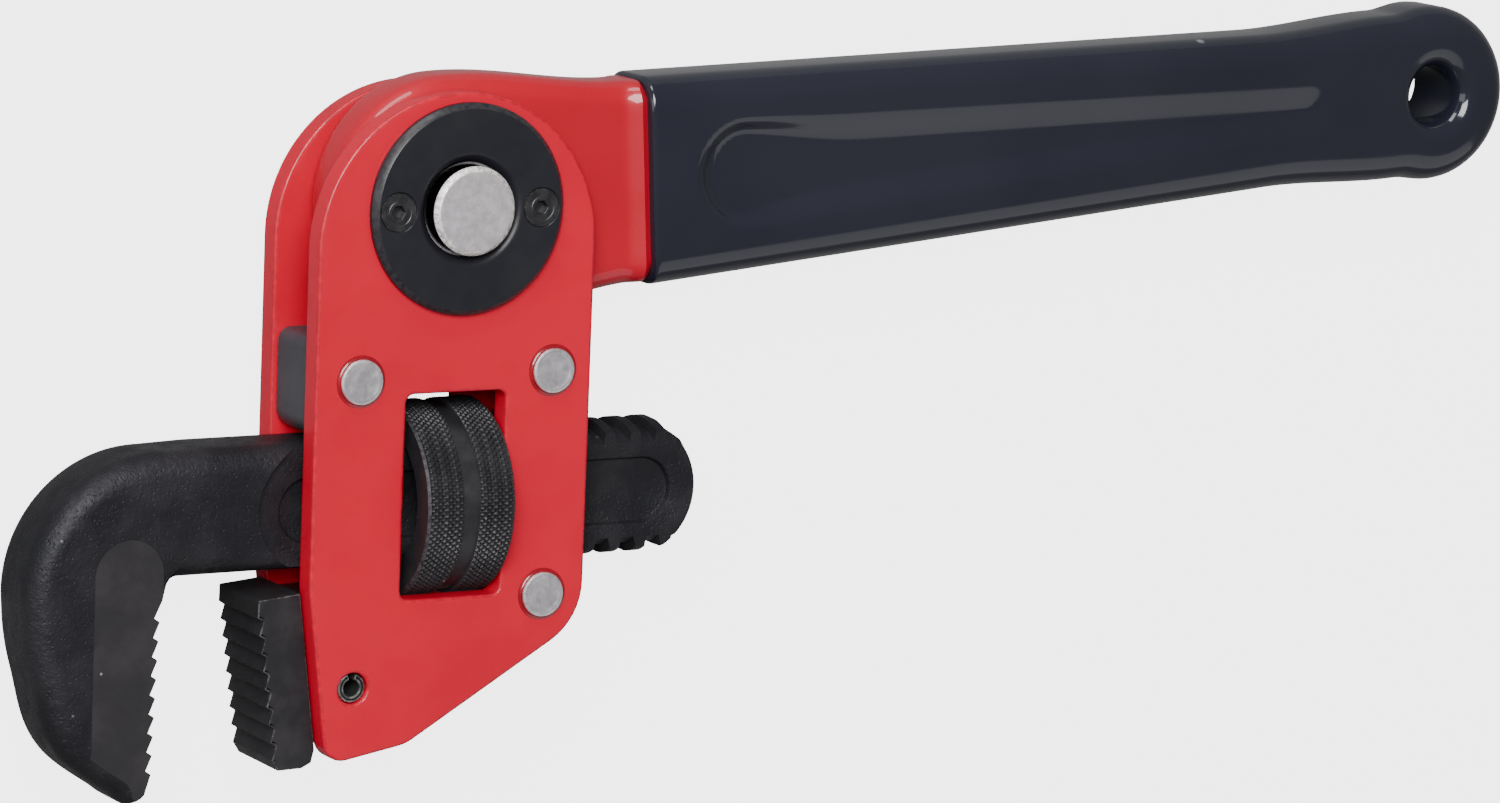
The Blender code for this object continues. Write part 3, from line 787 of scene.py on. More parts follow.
PLATE_LACQUER = Finish(
    "plate_lacquer",
    "red_lacquer",
    tone=(0.54, 0.0, 0.02),
    second=(0.48, 0.0, 0.017),
    bare=(0.15, 0.004, 0.01),
    roughness=(0.4, 0.5),
    coat=0.35,
    coat_roughness=0.06,
    specular=0.3,
    cloud_scale=25.0,
    grain_scale=700.0,
    grain_depth=0.006,
    wear=0.35,
    dust=0.012,
    dust_scale=160.0,
    dust_tone=(0.75, 0.42, 0.42),
)
POOLED_LACQUER = Finish(
    "pooled_lacquer",
    "red_lacquer",
    tone=(0.2, 0.0, 0.006),
    second=(0.26, 0.0, 0.008),
    bare=(0.15, 0.004, 0.01),
    roughness=(0.2, 0.3),
    coat=0.6,
    cloud_scale=300.0,
    grain_depth=0.01,
    wear=0.0,
)
FORGING_LACQUER = Finish(
    "forging_lacquer",
    "red_forging",
    tone=(0.42, 0.0, 0.014),
    second=(0.38, 0.0, 0.012),
    bare=(0.2, 0.004, 0.01),
    roughness=(0.38, 0.46),
    coat=0.65,
    coat_roughness=0.04,
    cloud_scale=30.0,
    grain_scale=350.0,
    grain_depth=0.006,
    wear=0.3,
    dust=0.02,
    dust_scale=160.0,
    dust_tone=(0.7, 0.35, 0.35),
    specular=0.3,
)
CAP_BLACK = Finish(
    "cap_black",
    "satin_black",
    tone=(0.011, 0.011, 0.015),
    second=(0.016, 0.016, 0.019),
    bare=(0.13, 0.12, 0.12),
    roughness=(0.3, 0.38),
    grain_scale=1100.0,
    grain_depth=0.003,
    wear=0.12,
    dust=0.02,
    dust_tone=(0.4, 0.38, 0.38),
    specular=0.35,
)
SCREW_BLACK = Finish(
    "screw_black",
    "black_screw",
    tone=(0.05, 0.05, 0.054),
    second=(0.075, 0.075, 0.08),
    bare=(0.25, 0.24, 0.24),
    roughness=(0.28, 0.42),
    metallic=0.8,
    cloud_scale=500.0,
    grain_scale=1600.0,
    grain_depth=0.006,
    wear=0.6,
)
RIVET_STEEL = Finish(
    "rivet_steel",
    "bright_rivet",
    tone=(0.6, 0.57, 0.6),
    second=(0.78, 0.75, 0.78),
    bare=(0.8, 0.78, 0.78),
    roughness=(0.36, 0.5),
    metallic=0.9,
    cloud_scale=600.0,
    grain_scale=1500.0,
    grain_depth=0.02,
    wear=1.0,
    dust=0.06,
)
BUTTON_ZINC = Finish(
    "button_zinc",
    "zinc_pin",
    tone=(0.44, 0.41, 0.43),
    second=(0.54, 0.5, 0.53),
    # This near-white bare tone on the worn chamfer ring is bare metal and a painted highlight as well.
    bare=(0.95, 0.93, 0.86),
    roughness=(0.42, 0.6),
    metallic=0.5,
    cloud_scale=700.0,
    grain_scale=1500.0,
    grain_depth=0.04,
    pits=0.6,
    wear=1.0,
    dust=0.35,
    dust_scale=900.0,
    dust_tone=(0.3, 0.28, 0.29),
)
# Near-black mirror metal for the button's side walls: painted shade and a painted dark reflection of the dish
# round it.
BUTTON_WALL_PAINTED_DARK = Finish(
    "button_wall_painted_shade",
    "zinc_pin",
    tone=(0.07, 0.07, 0.07),
    second=(0.1, 0.1, 0.1),
    bare=(0.9, 0.88, 0.85),
    roughness=(0.12, 0.2),
    metallic=1.0,
    cloud_scale=500.0,
    grain_scale=1500.0,
    grain_depth=0.004,
    wear=0.6,
)
BLOCK_BLACK = Finish(
    "block_black",
    "dark_block",
    tone=(0.045, 0.045, 0.055),
    second=(0.06, 0.06, 0.07),
    bare=(0.3, 0.29, 0.32),
    roughness=(0.4, 0.55),
    metallic=0.3,
    grain_depth=0.008,
    wear=0.5,
)
HOOK_CAST = Finish(
    "hook_cast",
    "hook_steel",
    tone=(0.014, 0.014, 0.017),
    second=(0.024, 0.023, 0.027),
    bare=(0.08, 0.078, 0.084),
    roughness=(0.4, 0.55),
    metallic=0.35,
    cloud_scale=90.0,
    grain_scale=1300.0,
    grain_depth=0.16,
    pits=0.5,
    wear=0.5,
    # Paints a highlight line along the hook's rounded rims in the bare tone.
    rim_highlight=0.22,
    dust=0.025,
    dust_scale=420.0,
    dust_tone=(0.16, 0.155, 0.165),
    specular=0.2,
)
HOOK_MILLED = Finish(
    "hook_milled",
    "hook_steel",
    tone=(0.03, 0.028, 0.031),
    second=(0.04, 0.037, 0.04),
    bare=(0.16, 0.155, 0.16),
    roughness=(0.42, 0.52),
    metallic=0.4,
    cloud_scale=120.0,
    grain_scale=1200.0,
    grain_depth=0.03,
    wear=0.6,
    dust=0.03,
    dust_scale=420.0,
    dust_tone=(0.35, 0.33, 0.33),
    specular=0.3,
)
HEEL_BLACK = Finish(
    "heel_black",
    "jaw_steel",
    tone=(0.022, 0.021, 0.024),
    second=(0.032, 0.03, 0.033),
    bare=(0.2, 0.19, 0.2),
    roughness=(0.4, 0.52),
    metallic=0.4,
    cloud_scale=150.0,
    grain_scale=1200.0,
    grain_depth=0.02,
    wear=0.35,
    dust=0.03,
    dust_scale=420.0,
    dust_tone=(0.4, 0.37, 0.35),
    specular=0.4,
)
NUT_BLACK = Finish(
    "nut_black",
    "nut_steel",
    tone=(0.017, 0.017, 0.02),
    second=(0.029, 0.028, 0.031),
    bare=(0.11, 0.105, 0.11),
    roughness=(0.42, 0.56),
    metallic=0.25,
    cloud_scale=160.0,
    grain_scale=1400.0,
    grain_depth=0.008,
    wear=0.4,
    dust=0.04,
    dust_scale=500.0,
    specular=0.35,
)
SPRING_BLUE = Finish(
    "spring_blue",
    "spring_steel",
    tone=(0.16, 0.18, 0.24),
    second=(0.22, 0.23, 0.27),
    bare=(0.5, 0.5, 0.5),
    roughness=(0.3, 0.4),
    metallic=0.9,
    grain_depth=0.004,
)
PIN_DARK = Finish(
    "pin_dark",
    "dark_pin",
    tone=(0.07, 0.08, 0.075),
    second=(0.12, 0.13, 0.12),
    bare=(0.4, 0.4, 0.4),
    roughness=(0.3, 0.45),
    metallic=0.8,
    grain_depth=0.008,
    wear=0.8,
)
GRIP_VINYL = Finish(
    "grip_vinyl",
    "vinyl",
    tone=(0.011, 0.012, 0.02),
    second=(0.014, 0.015, 0.024),
    bare=(0.03, 0.03, 0.04),
    roughness=(0.12, 0.18),
    coat=0.3,
    coat_roughness=0.04,
    cloud_scale=18.0,
    grain_scale=120.0,
    grain_depth=0.012,
    pits=0.05,
    wear=0.2,
    dust=0.02,
    dust_scale=120.0,
    dust_tone=(0.2, 0.2, 0.22),
    specular=0.45,
)


def dressed(
    made: bpy.types.Object, finish: Finish, body: Body, replaced: Sequence[str], sharp: float = 32.0
) -> bpy.types.Object:
    """Gives a finished piece its material, its shading, its body and the nodes it stands for.

    Args:
        made: the piece, with no modifiers left on it.
        finish: its finish.
        body: the body it rides on.
        replaced: the CAD nodes it stands for.
        sharp: the angle in degrees past which an edge stays sharp.

    Returns:
        The piece.
    """
    mesh = made.data
    if not any(mesh.materials):
        mesh.materials.clear()
        mesh.materials.append(finish.build())
    mesh.shade_smooth()
    mesh.set_sharp_from_angle(angle=math.radians(sharp))
    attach(made, body.value)
    if replaced:
        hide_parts(*replaced)
    LOG.info("%s: %d faces on %s", made.name, len(mesh.polygons), body.value)
    return made


# ---------------------------------------------------------------- repeated pieces


class Scatter:
    """Geometry Nodes that set one master shape at named spots and make them real."""

    def __init__(self, name: str) -> None:
        """Builds the tree.

        Args:
            name: the tree's name.
        """
        self.tree = bpy.data.node_groups.new(name, "GeometryNodeTree")
        face = self.tree.interface
        face.new_socket("Geometry", in_out="INPUT", socket_type="NodeSocketGeometry")
        self.master = face.new_socket("Master", in_out="INPUT", socket_type="NodeSocketObject").identifier
        self.finish = face.new_socket("Finish", in_out="INPUT", socket_type="NodeSocketMaterial").identifier
        face.new_socket("Geometry", in_out="OUTPUT", socket_type="NodeSocketGeometry")
        nodes = Nodes(self.tree)
        start = nodes.add("NodeGroupInput")
        info = nodes.add("GeometryNodeObjectInfo", Object=start.outputs["Master"])
        flips = nodes.add("GeometryNodeInputNamedAttribute", {"data_type": "FLOAT_VECTOR"}, Name="turn")
        put = nodes.add(
            "GeometryNodeInstanceOnPoints",
            Points=start.outputs["Geometry"],
            Instance=info.outputs["Geometry"],
            Rotation=flips.outputs["Attribute"],
        )
        real = nodes.add("GeometryNodeRealizeInstances", Geometry=put.outputs["Instances"])
        dress = nodes.add(
            "GeometryNodeSetMaterial", Geometry=real.outputs["Geometry"], Material=start.outputs["Finish"]
        )
        end = nodes.add("NodeGroupOutput")
        self.tree.links.new(dress.outputs["Geometry"], end.inputs["Geometry"])

    def made(
        self,
        name: str,
        master: bpy.types.Object,
        spots: Sequence[tuple[Vector, Vector]],
        material: bpy.types.Material,
    ) -> bpy.types.Object:
        """Sets the master at each spot.

        Args:
            name: the new piece's name.
            master: the shape about its own origin, in metres, removed here.
            spots: places in millimetres from the pivot, and turns in radians.
            material: the finish.

        Returns:
            A piece with a plain mesh.
        """
        mesh = bpy.data.meshes.new(name)
        mesh.from_pydata([(spot + PIVOT) * MM for spot, _ in spots], [], [])
        turns = mesh.attributes.new("turn", "FLOAT_VECTOR", "POINT")
        turns.data.foreach_set("vector", [part for _, turn in spots for part in turn])
        made = bpy.data.objects.new(name, mesh)
        bpy.context.scene.collection.objects.link(made)
        modifier = made.modifiers.new("Scatter", "NODES")
        modifier.node_group = self.tree
        modifier[self.master] = master
        modifier[self.finish] = material
        settled(made)
        bpy.data.objects.remove(master, do_unlink=True)
        return made


def master_shape(name: str, bm: bmesh.types.BMesh) -> bpy.types.Object:
    """A shape about its own origin, in metres, for Scatter to repeat.

    Args:
        name: the object's name.
        bm: the solid, in millimetres.

    Returns:
        The object.
    """
    made = mesh_object(name, bm)
    made.data.transform(Matrix.Translation(-PIVOT * MM))
    return made


# ---------------------------------------------------------------- head


@dataclass
class Head:
    """The plates, their caps, screws, rivets and blocks."""

    inner: float = 6.0
    outer: float = 10.25
    left: float = -25.4
    right: float = 23.6
    top_centre: FLAT = (-0.9, -6.0)
    top_round: float = 24.5
    plate_edge: float = 0.45
    window: tuple[float, float, float, float] = (-9.4, -62.7, 8.4, -29.5)
    bore: float = 10.4
    cap_round: float = 17.0
    cap_face: float = 12.05
    screw_circle: float = 12.65
    screw_head: float = 3.1
    rivets: dict[str, FLAT] = field(
        default_factory=lambda: {
            "rivet_upper_left": (-17.57, -27.0),
            "rivet_upper_right": (16.6, -26.7),
            "rivet_lower_right": (16.0, -63.2),
        }
    )
    heel_pin: FLAT = (-17.25, -76.5)

    def build(self) -> None:
        """Builds every piece of the head but the jaws."""
        self.build_plates()
        self.build_caps()
        self.build_cap_screws()
        self.build_rivets()
        self.build_blocks()
        self.build_leaf_spring()
        self.build_heel_pin()

    def plate_outline(self) -> list[FLAT]:
        """The side plate's outline, anticlockwise.

        Returns:
            The outline's points.
        """
        top = arc(self.top_centre, self.top_round, 0.0, 180.0, 72)
        y = self.top_centre[1]
        lower = [(self.left, y, 0.0), (self.left, -60.1, 6.0), (-21.7, -88.8, 3.5), (-7.5, -86.3, 8.0)]
        lower += [(self.right, -67.9, 11.1), (self.right, y, 0.0)]
        return resampled(top + rounded(lower)[1:-1], 3.0)

    def build_plates(self) -> None:
        """The two lacquered side plates."""
        x0, y0, x1, y1 = self.window
        holes = [resampled(rounded([(x0, y0, 1.5), (x1, y0, 1.5), (x1, y1, 1.5), (x0, y1, 1.5)], 6), 3.0)]
        holes.append(circle((0.0, 0.0), self.bore, 72))
        holes.extend(circle(spot, 2.85, 28) for spot in self.rivets.values())
        holes.append(circle(self.heel_pin, 2.55, 28))
        for name, low, high in (
            ("front_plate", self.inner, self.outer),
            ("back_plate", -self.outer, -self.inner),
        ):
            bm = slab(self.plate_outline(), low, high, self.plate_edge, holes)
            dressed(mesh_object(f"{name}_lacquered", bm), PLATE_LACQUER, Body.HEAD, [name])

    def cap_profile(self, bored: bool) -> list[list[tuple[float, float, float]]]:
        """The cap's outer wall and, if bored, its dished bore, each from the plate outwards.

        Args:
            bored: whether the cap has the button's bore.

        Returns:
            Chains of radius, height and wear.
        """
        back, face, outside = self.outer + 0.15, self.cap_face, self.cap_round
        rim = [(outside, back, 0.0), (outside, face - 0.98, 0.0), (outside - 0.06, face - 0.88, 1.0)]
        rim += [(outside - 0.86, face - 0.05, 1.0), (outside - 0.95, face, 0.2)]
        chains = [rim]
        if bored:
            dish = [(7.55, back, 0.0), (7.55, face - 1.35, 0.2)]
            for k in range(1, 8):
                share = k / 7
                dish.append((7.55 + 1.75 * share, face - 1.35 * (1 - share) ** 1.9, 0.2 if k < 7 else 0.0))
            chains.append(dish)
        return chains

    def build_caps(self) -> None:
        """The pivot caps, the front one dished round the button."""
        for name, side in (("front_cap", 1), ("back_cap", -1)):
            bm = bmesh.new()
            lows, highs = [], []
            for chain in self.cap_profile(side > 0):
                rings = [ring(bm, circle((0.0, 0.0), r, 96), z, mark) for r, z, mark in chain]
                for below, above in zip(rings, rings[1:]):
                    band(bm, below, above)
                lows.append(rings[0])
                highs.append(rings[-1])
            for x in (-self.screw_circle, self.screw_circle):
                sink = [(1.55, self.outer + 0.15, 0.0), (self.screw_head + 0.12, self.cap_face - 0.12, 0.0)]
                sink += [(self.screw_head + 0.2, self.cap_face, 0.3)]
                rings = [ring(bm, circle((x, 0.0), r, 40), z, mark) for r, z, mark in sink]
                for below, above in zip(rings, rings[1:]):
                    band(bm, below, above)
                lows.append(rings[0])
                highs.append(rings[-1])
            lid(bm, *lows)
            lid(bm, *highs)
            if side < 0:
                bm.transform(Matrix.Rotation(math.pi, 4, "X"))
            dressed(mesh_object(f"{name}_satin", bm), CAP_BLACK, Body.HEAD, [name], 25.0)

    def build_cap_screws(self) -> None:
        """The four countersunk screws, one shape repeated."""
        bm = bmesh.new()
        top = self.cap_face - 0.1
        head = self.screw_head
        chain = [
            (1.25, 6.6, 0.0), (1.25, self.outer, 0.0), (head - 0.02, top - 0.18, 0.6), (head - 0.12, top, 1.0)
        ]
        chain.append((head - 0.35, top, 0.0))
        chain += [(2.3, top, 0.0), (2.2, top - 0.08, 0.5), (1.75, top - 0.08, 0.5), (1.65, top, 0.0)]
        rings = [ring(bm, circle((0.0, 0.0), r, 36), z, mark) for r, z, mark in chain]
        for below, above in zip(rings, rings[1:]):
            band(bm, below, above)
        hexagon = resampled(
            [(1.3 * math.cos(k * math.pi / 3), 1.3 * math.sin(k * math.pi / 3)) for k in range(6)], 0.45
        )
        shrunk = [(x * 0.9, y * 0.9) for x, y in hexagon]
        mouth = [
            ring(bm, hexagon, top, 0.6), ring(bm, shrunk, top - 0.12, 0.3), ring(bm, shrunk, top - 1.2, 0.0)
        ]
        for below, above in zip(mouth, mouth[1:]):
            band(bm, below, above)
        lid(bm, rings[0])
        lid(bm, rings[-1], mouth[0])
        lid(bm, mouth[-1])
        half_turn = Vector((math.pi, 0.0, 0.0))
        spots = [
            (Vector((x, 0.0, 0.0)), turn)
            for x in (-self.screw_circle, self.screw_circle)
            for turn in (Vector(), half_turn)
        ]
        made = Scatter("screw_scatter").made(
            "cap_screws", master_shape("screw", bm), spots, SCREW_BLACK.build()
        )
        ends = (
            "front_cap_screw_left", "front_cap_screw_right", "back_cap_screw_left", "back_cap_screw_right"
        )
        dressed(made, SCREW_BLACK, Body.HEAD, ends, 25.0)

    def build_rivets(self) -> None:
        """The three plate rivets, one shape repeated, each with a faint pressed ring in its head."""
        low, high = self.outer + 0.15, self.outer + 0.8
        head = 3.66
        half = [(2.6, low, 0.0), (head, low, 0.0), (head, high - 0.3, 0.2), (head - 0.1, high - 0.09, 1.0)]
        half += [(head - 0.34, high, 1.0), (head - 0.7, high, 0.2), (head - 0.9, high - 0.06, 0.0)]
        half += [(head - 1.3, high - 0.07, 0.0)]
        lower = [(r, -z, mark) for r, z, mark in reversed(half)]
        profile = [(0.0, 0.1 - high, 0.0), *lower, *half, (0.0, high - 0.1, 0.0)]
        spots = [(Vector((x, y, 0.0)), Vector()) for x, y in self.rivets.values()]
        master = master_shape("rivet", turned(profile, 48))
        made = Scatter("rivet_scatter").made("plate_rivets", master, spots, RIVET_STEEL.build())
        dressed(made, RIVET_STEEL, Body.HEAD, list(self.rivets), 25.0)
        face = self.outer
        pool = [(head + 0.03, face + 0.02), (head + 0.6, face + 0.02), (head + 0.3, face + 0.09)]
        pool += [(head + 0.1, face + 0.22), (head + 0.03, face + 0.42)]
        both = [(spot, turn) for spot, _ in spots for turn in (Vector(), Vector((math.pi, 0.0, 0.0)))]
        master = master_shape("pool", turned(pool, 48, closed=True))
        made = Scatter("pool_scatter").made("rivet_lacquer_pools", master, both, POOLED_LACQUER.build())
        dressed(made, POOLED_LACQUER, Body.HEAD, [])

    def build_blocks(self) -> None:
        """The guide blocks and the spacer sleeve between the plates."""
        upper = [(-24.6, -36.5, 3.2), (-11.4, -36.5, 2.0), (-11.4, -20.3, 2.0), (-24.6, -20.3, 2.2)]
        lower = [(10.2, -67.0, 2.5), (21.4, -67.0, 2.5), (21.4, -59.45, 1.5), (10.2, -59.45, 1.5)]
        for name, corners, rivet in (
            ("upper_guide_block", upper, "rivet_upper_left"),
            ("lower_guide_block", lower, "rivet_lower_right"),
        ):
            outline = resampled(rounded(corners, 10), 2.0)
            bm = slab(outline, -5.8, 5.8, 0.4, [circle(self.rivets[rivet], 2.85, 28)])
            dressed(mesh_object(f"{name}_blackened", bm), BLOCK_BLACK, Body.HEAD, [name])
        x, y = self.rivets["rivet_upper_right"]
        half = [
            (2.85, 5.8, 0.0),
            (2.85, -5.8, 0.0),
            (4.7, -5.8, 0.0),
            (5.0, -5.5, 1.0),
            (5.0, 5.5, 1.0),
            (4.7, 5.8, 0.0),
        ]
        sleeve = mesh_object("spacer_sleeve", turned(half, 48, closed=True), place=Vector((x, y, 0.0)))
        dressed(sleeve, BLOCK_BLACK, Body.HEAD, ["upper_right_spacer"])

    def build_leaf_spring(self) -> None:
        """The leaf that hooks on the spacer and presses on the shank."""
        thickness, half_width = 0.68, 4.5
        path = [(10.65, -35.3), (11.5, -35.9), (12.6, -36.12), (14.0, -35.75)]
        path += arc(self.rivets["rivet_upper_right"], 5.65, -62.0, 20.0, 18)
        sides: tuple[list[FLAT], list[FLAT]] = ([], [])
        for i, (x, y) in enumerate(path):
            ahead, behind = Vector(path[min(i + 1, len(path) - 1)]), Vector(path[max(i - 1, 0)])
            along = (ahead - behind).normalized() * (thickness / 2)
            sides[0].append((x + along.y, y - along.x))
            sides[1].append((x - along.y, y + along.x))
        bm = slab(sides[0] + sides[1][::-1], -half_width, half_width, 0.12, turns=2)
        dressed(mesh_object("leaf_spring", bm), SPRING_BLUE, Body.HEAD, ["jaw_spring"])

    def build_heel_pin(self) -> None:
        """The slit spring pin, a rolled strip with a chamfer at each end."""
        slit = 17.0
        outer = arc(self.heel_pin, 2.38, 90 + slit, 450 - slit, 48)
        inner = arc(self.heel_pin, 1.4, 450 - slit, 90 + slit, 48)
        bm = slab(outer + inner, -9.6, 9.6, 0.22, turns=2)
        dressed(mesh_object("rolled_pin", bm), PIN_DARK, Body.HEAD, ["heel_spring_pin"])


# ---------------------------------------------------------------- jaws


def tooth_row(top: FLAT, bottom: FLAT, count: int, depth: float, drop: float, blunt: float) -> list[FLAT]:
    """Saw teeth with slightly blunted tips.

    Args:
        top: the first tip.
        bottom: the last tip.
        count: how many tips there are.
        depth: how far a root lies from its tip along X.
        drop: how far it lies below it.
        blunt: half the width of the flat on a tip.

    Returns:
        The points from the top down.
    """
    points: list[FLAT] = []
    side = math.copysign(blunt * 0.6, depth)
    for k in range(count):
        share = k / (count - 1)
        x = top[0] + (bottom[0] - top[0]) * share
        y = top[1] + (bottom[1] - top[1]) * share
        points += [(x + side, y + blunt), (x, y), (x + side * 0.7, y - blunt)]
        if k < count - 1:
            points += [(x + depth * 0.93, y - drop + 0.06), (x + depth, y - drop - 0.12)]
    return points


@dataclass
class HeelJaw:
    """The fixed jaw: a toothed block, and a tongue pinned between the plates."""

    half: float = 7.4
    tongue_half: float = 5.8
    teeth: int = 9
    tips: tuple[FLAT, FLAT] = ((-33.0, -64.5), (-29.8, -87.8))
    pin: FLAT = (-17.25, -76.5)

    def build(self) -> None:
        """Builds the jaw as one piece."""
        teeth = tooth_row(*self.tips, self.teeth, 1.0, 0.72, 0.1)
        outline = [(-32.9, -61.8), *teeth, (-28.7, -89.6), (-24.6, -89.5), (-22.9, -88.7), (-22.4, -86.6)]
        outline += [(-25.7, -61.1)]
        made = mesh_object(
            "heel_jaw_toothed", slab(resampled(outline, 2.5), -self.half, self.half, 0.14, turns=2)
        )
        tongue = [(-30.0, -63.2, 0.0), (-30.0, -82.0, 0.0), (-20.5, -86.4, 1.5), (-10.6, -83.5, 2.0)]
        tongue += [(-10.6, -65.0, 2.0), (-14.0, -62.0, 1.5), (-24.0, -62.2, 0.0)]
        hole = circle(self.pin, 2.55, 28)
        bm = slab(resampled(rounded(tongue), 3.0), -self.tongue_half, self.tongue_half, 0.3, [hole])
        combine(made, mesh_object("tongue", bm), Joining.ADD)
        dressed(made, HEEL_BLACK, Body.HEAD, ["heel_jaw"], 25.0)


@dataclass
class Thread:
    """A right-hand trapezoidal thread about X."""

    pitch: float = 4.7
    floor: float = 2.3
    flank: float = 0.35
    steps: int = 72

    def rod(self, radius: float, root: float, floor: float, start: float, turns: int) -> bmesh.types.BMesh:
        """A closed rod with the thread on it, fading out at both ends.

        Args:
            radius: the crest's radius.
            root: the groove's radius.
            floor: the groove's width at its floor.
            start: where the first crest begins along X.
            turns: how many turns it has.

        Returns:
            The solid.
        """
        bm = bmesh.new()
        crest = self.pitch - floor - 2 * self.flank
        section = [(crest / 2, 0.0), (crest / 2 + self.flank, 1.0)]
        section += [(self.pitch - crest / 2 - self.flank, 1.0), (self.pitch - crest / 2, 0.0)]
        last = turns * self.steps - 1
        fade_steps = self.steps // 4
        columns = []
        for turn in range(turns):
            for along, depth in section:
                column = []
                for j in range(self.steps):
                    step = turn * self.steps + j
                    fade = min(step / fade_steps, (last - step) / fade_steps, 1.0)
                    r = radius - (radius - root) * depth * fade
                    angle = 2 * math.pi * j / self.steps
                    x = start + self.pitch * (turn + j / self.steps) + along
                    column.append(bm.verts.new((x, r * math.cos(angle), r * math.sin(angle))))
                columns.append(column)
        self.skin(bm, columns, len(section), start, turns)
        return bm

    def skin(
        self,
        bm: bmesh.types.BMesh,
        columns: list[list[bmesh.types.BMVert]],
        size: int,
        start: float,
        turns: int,
    ) -> None:
        """Joins the thread's columns of vertices into a closed skin.

        Args:
            bm: the solid that gets the faces.
            columns: the vertices of each station along the helix.
            size: the stations in one turn.
            start: where the thread starts along X.
            turns: how many turns it has.
        """
        count = len(columns)
        for m in range(count - 1):
            for j in range(self.steps - 1):
                bm.faces.new((columns[m][j], columns[m + 1][j], columns[m + 1][j + 1], columns[m][j + 1]))
            if m + 1 + size < count:
                bm.faces.new(
                    (columns[m][-1], columns[m + 1][-1], columns[m + 1 + size][0], columns[m + size][0])
                )
        first_rim = columns[0] + [columns[k][0] for k in range(size, 0, -1)]
        last_rim = columns[-1] + [columns[count - 1 - k][-1] for k in range(1, size + 1)]
        for rim, x in ((first_rim, start - 2.0), (last_rim, start + self.pitch * (turns + 1) + 2.0)):
            tip = bm.verts.new((x, 0.0, 0.0))
            for i, vert in enumerate(rim):
                bm.faces.new((tip, vert, rim[(i + 1) % len(rim)]))


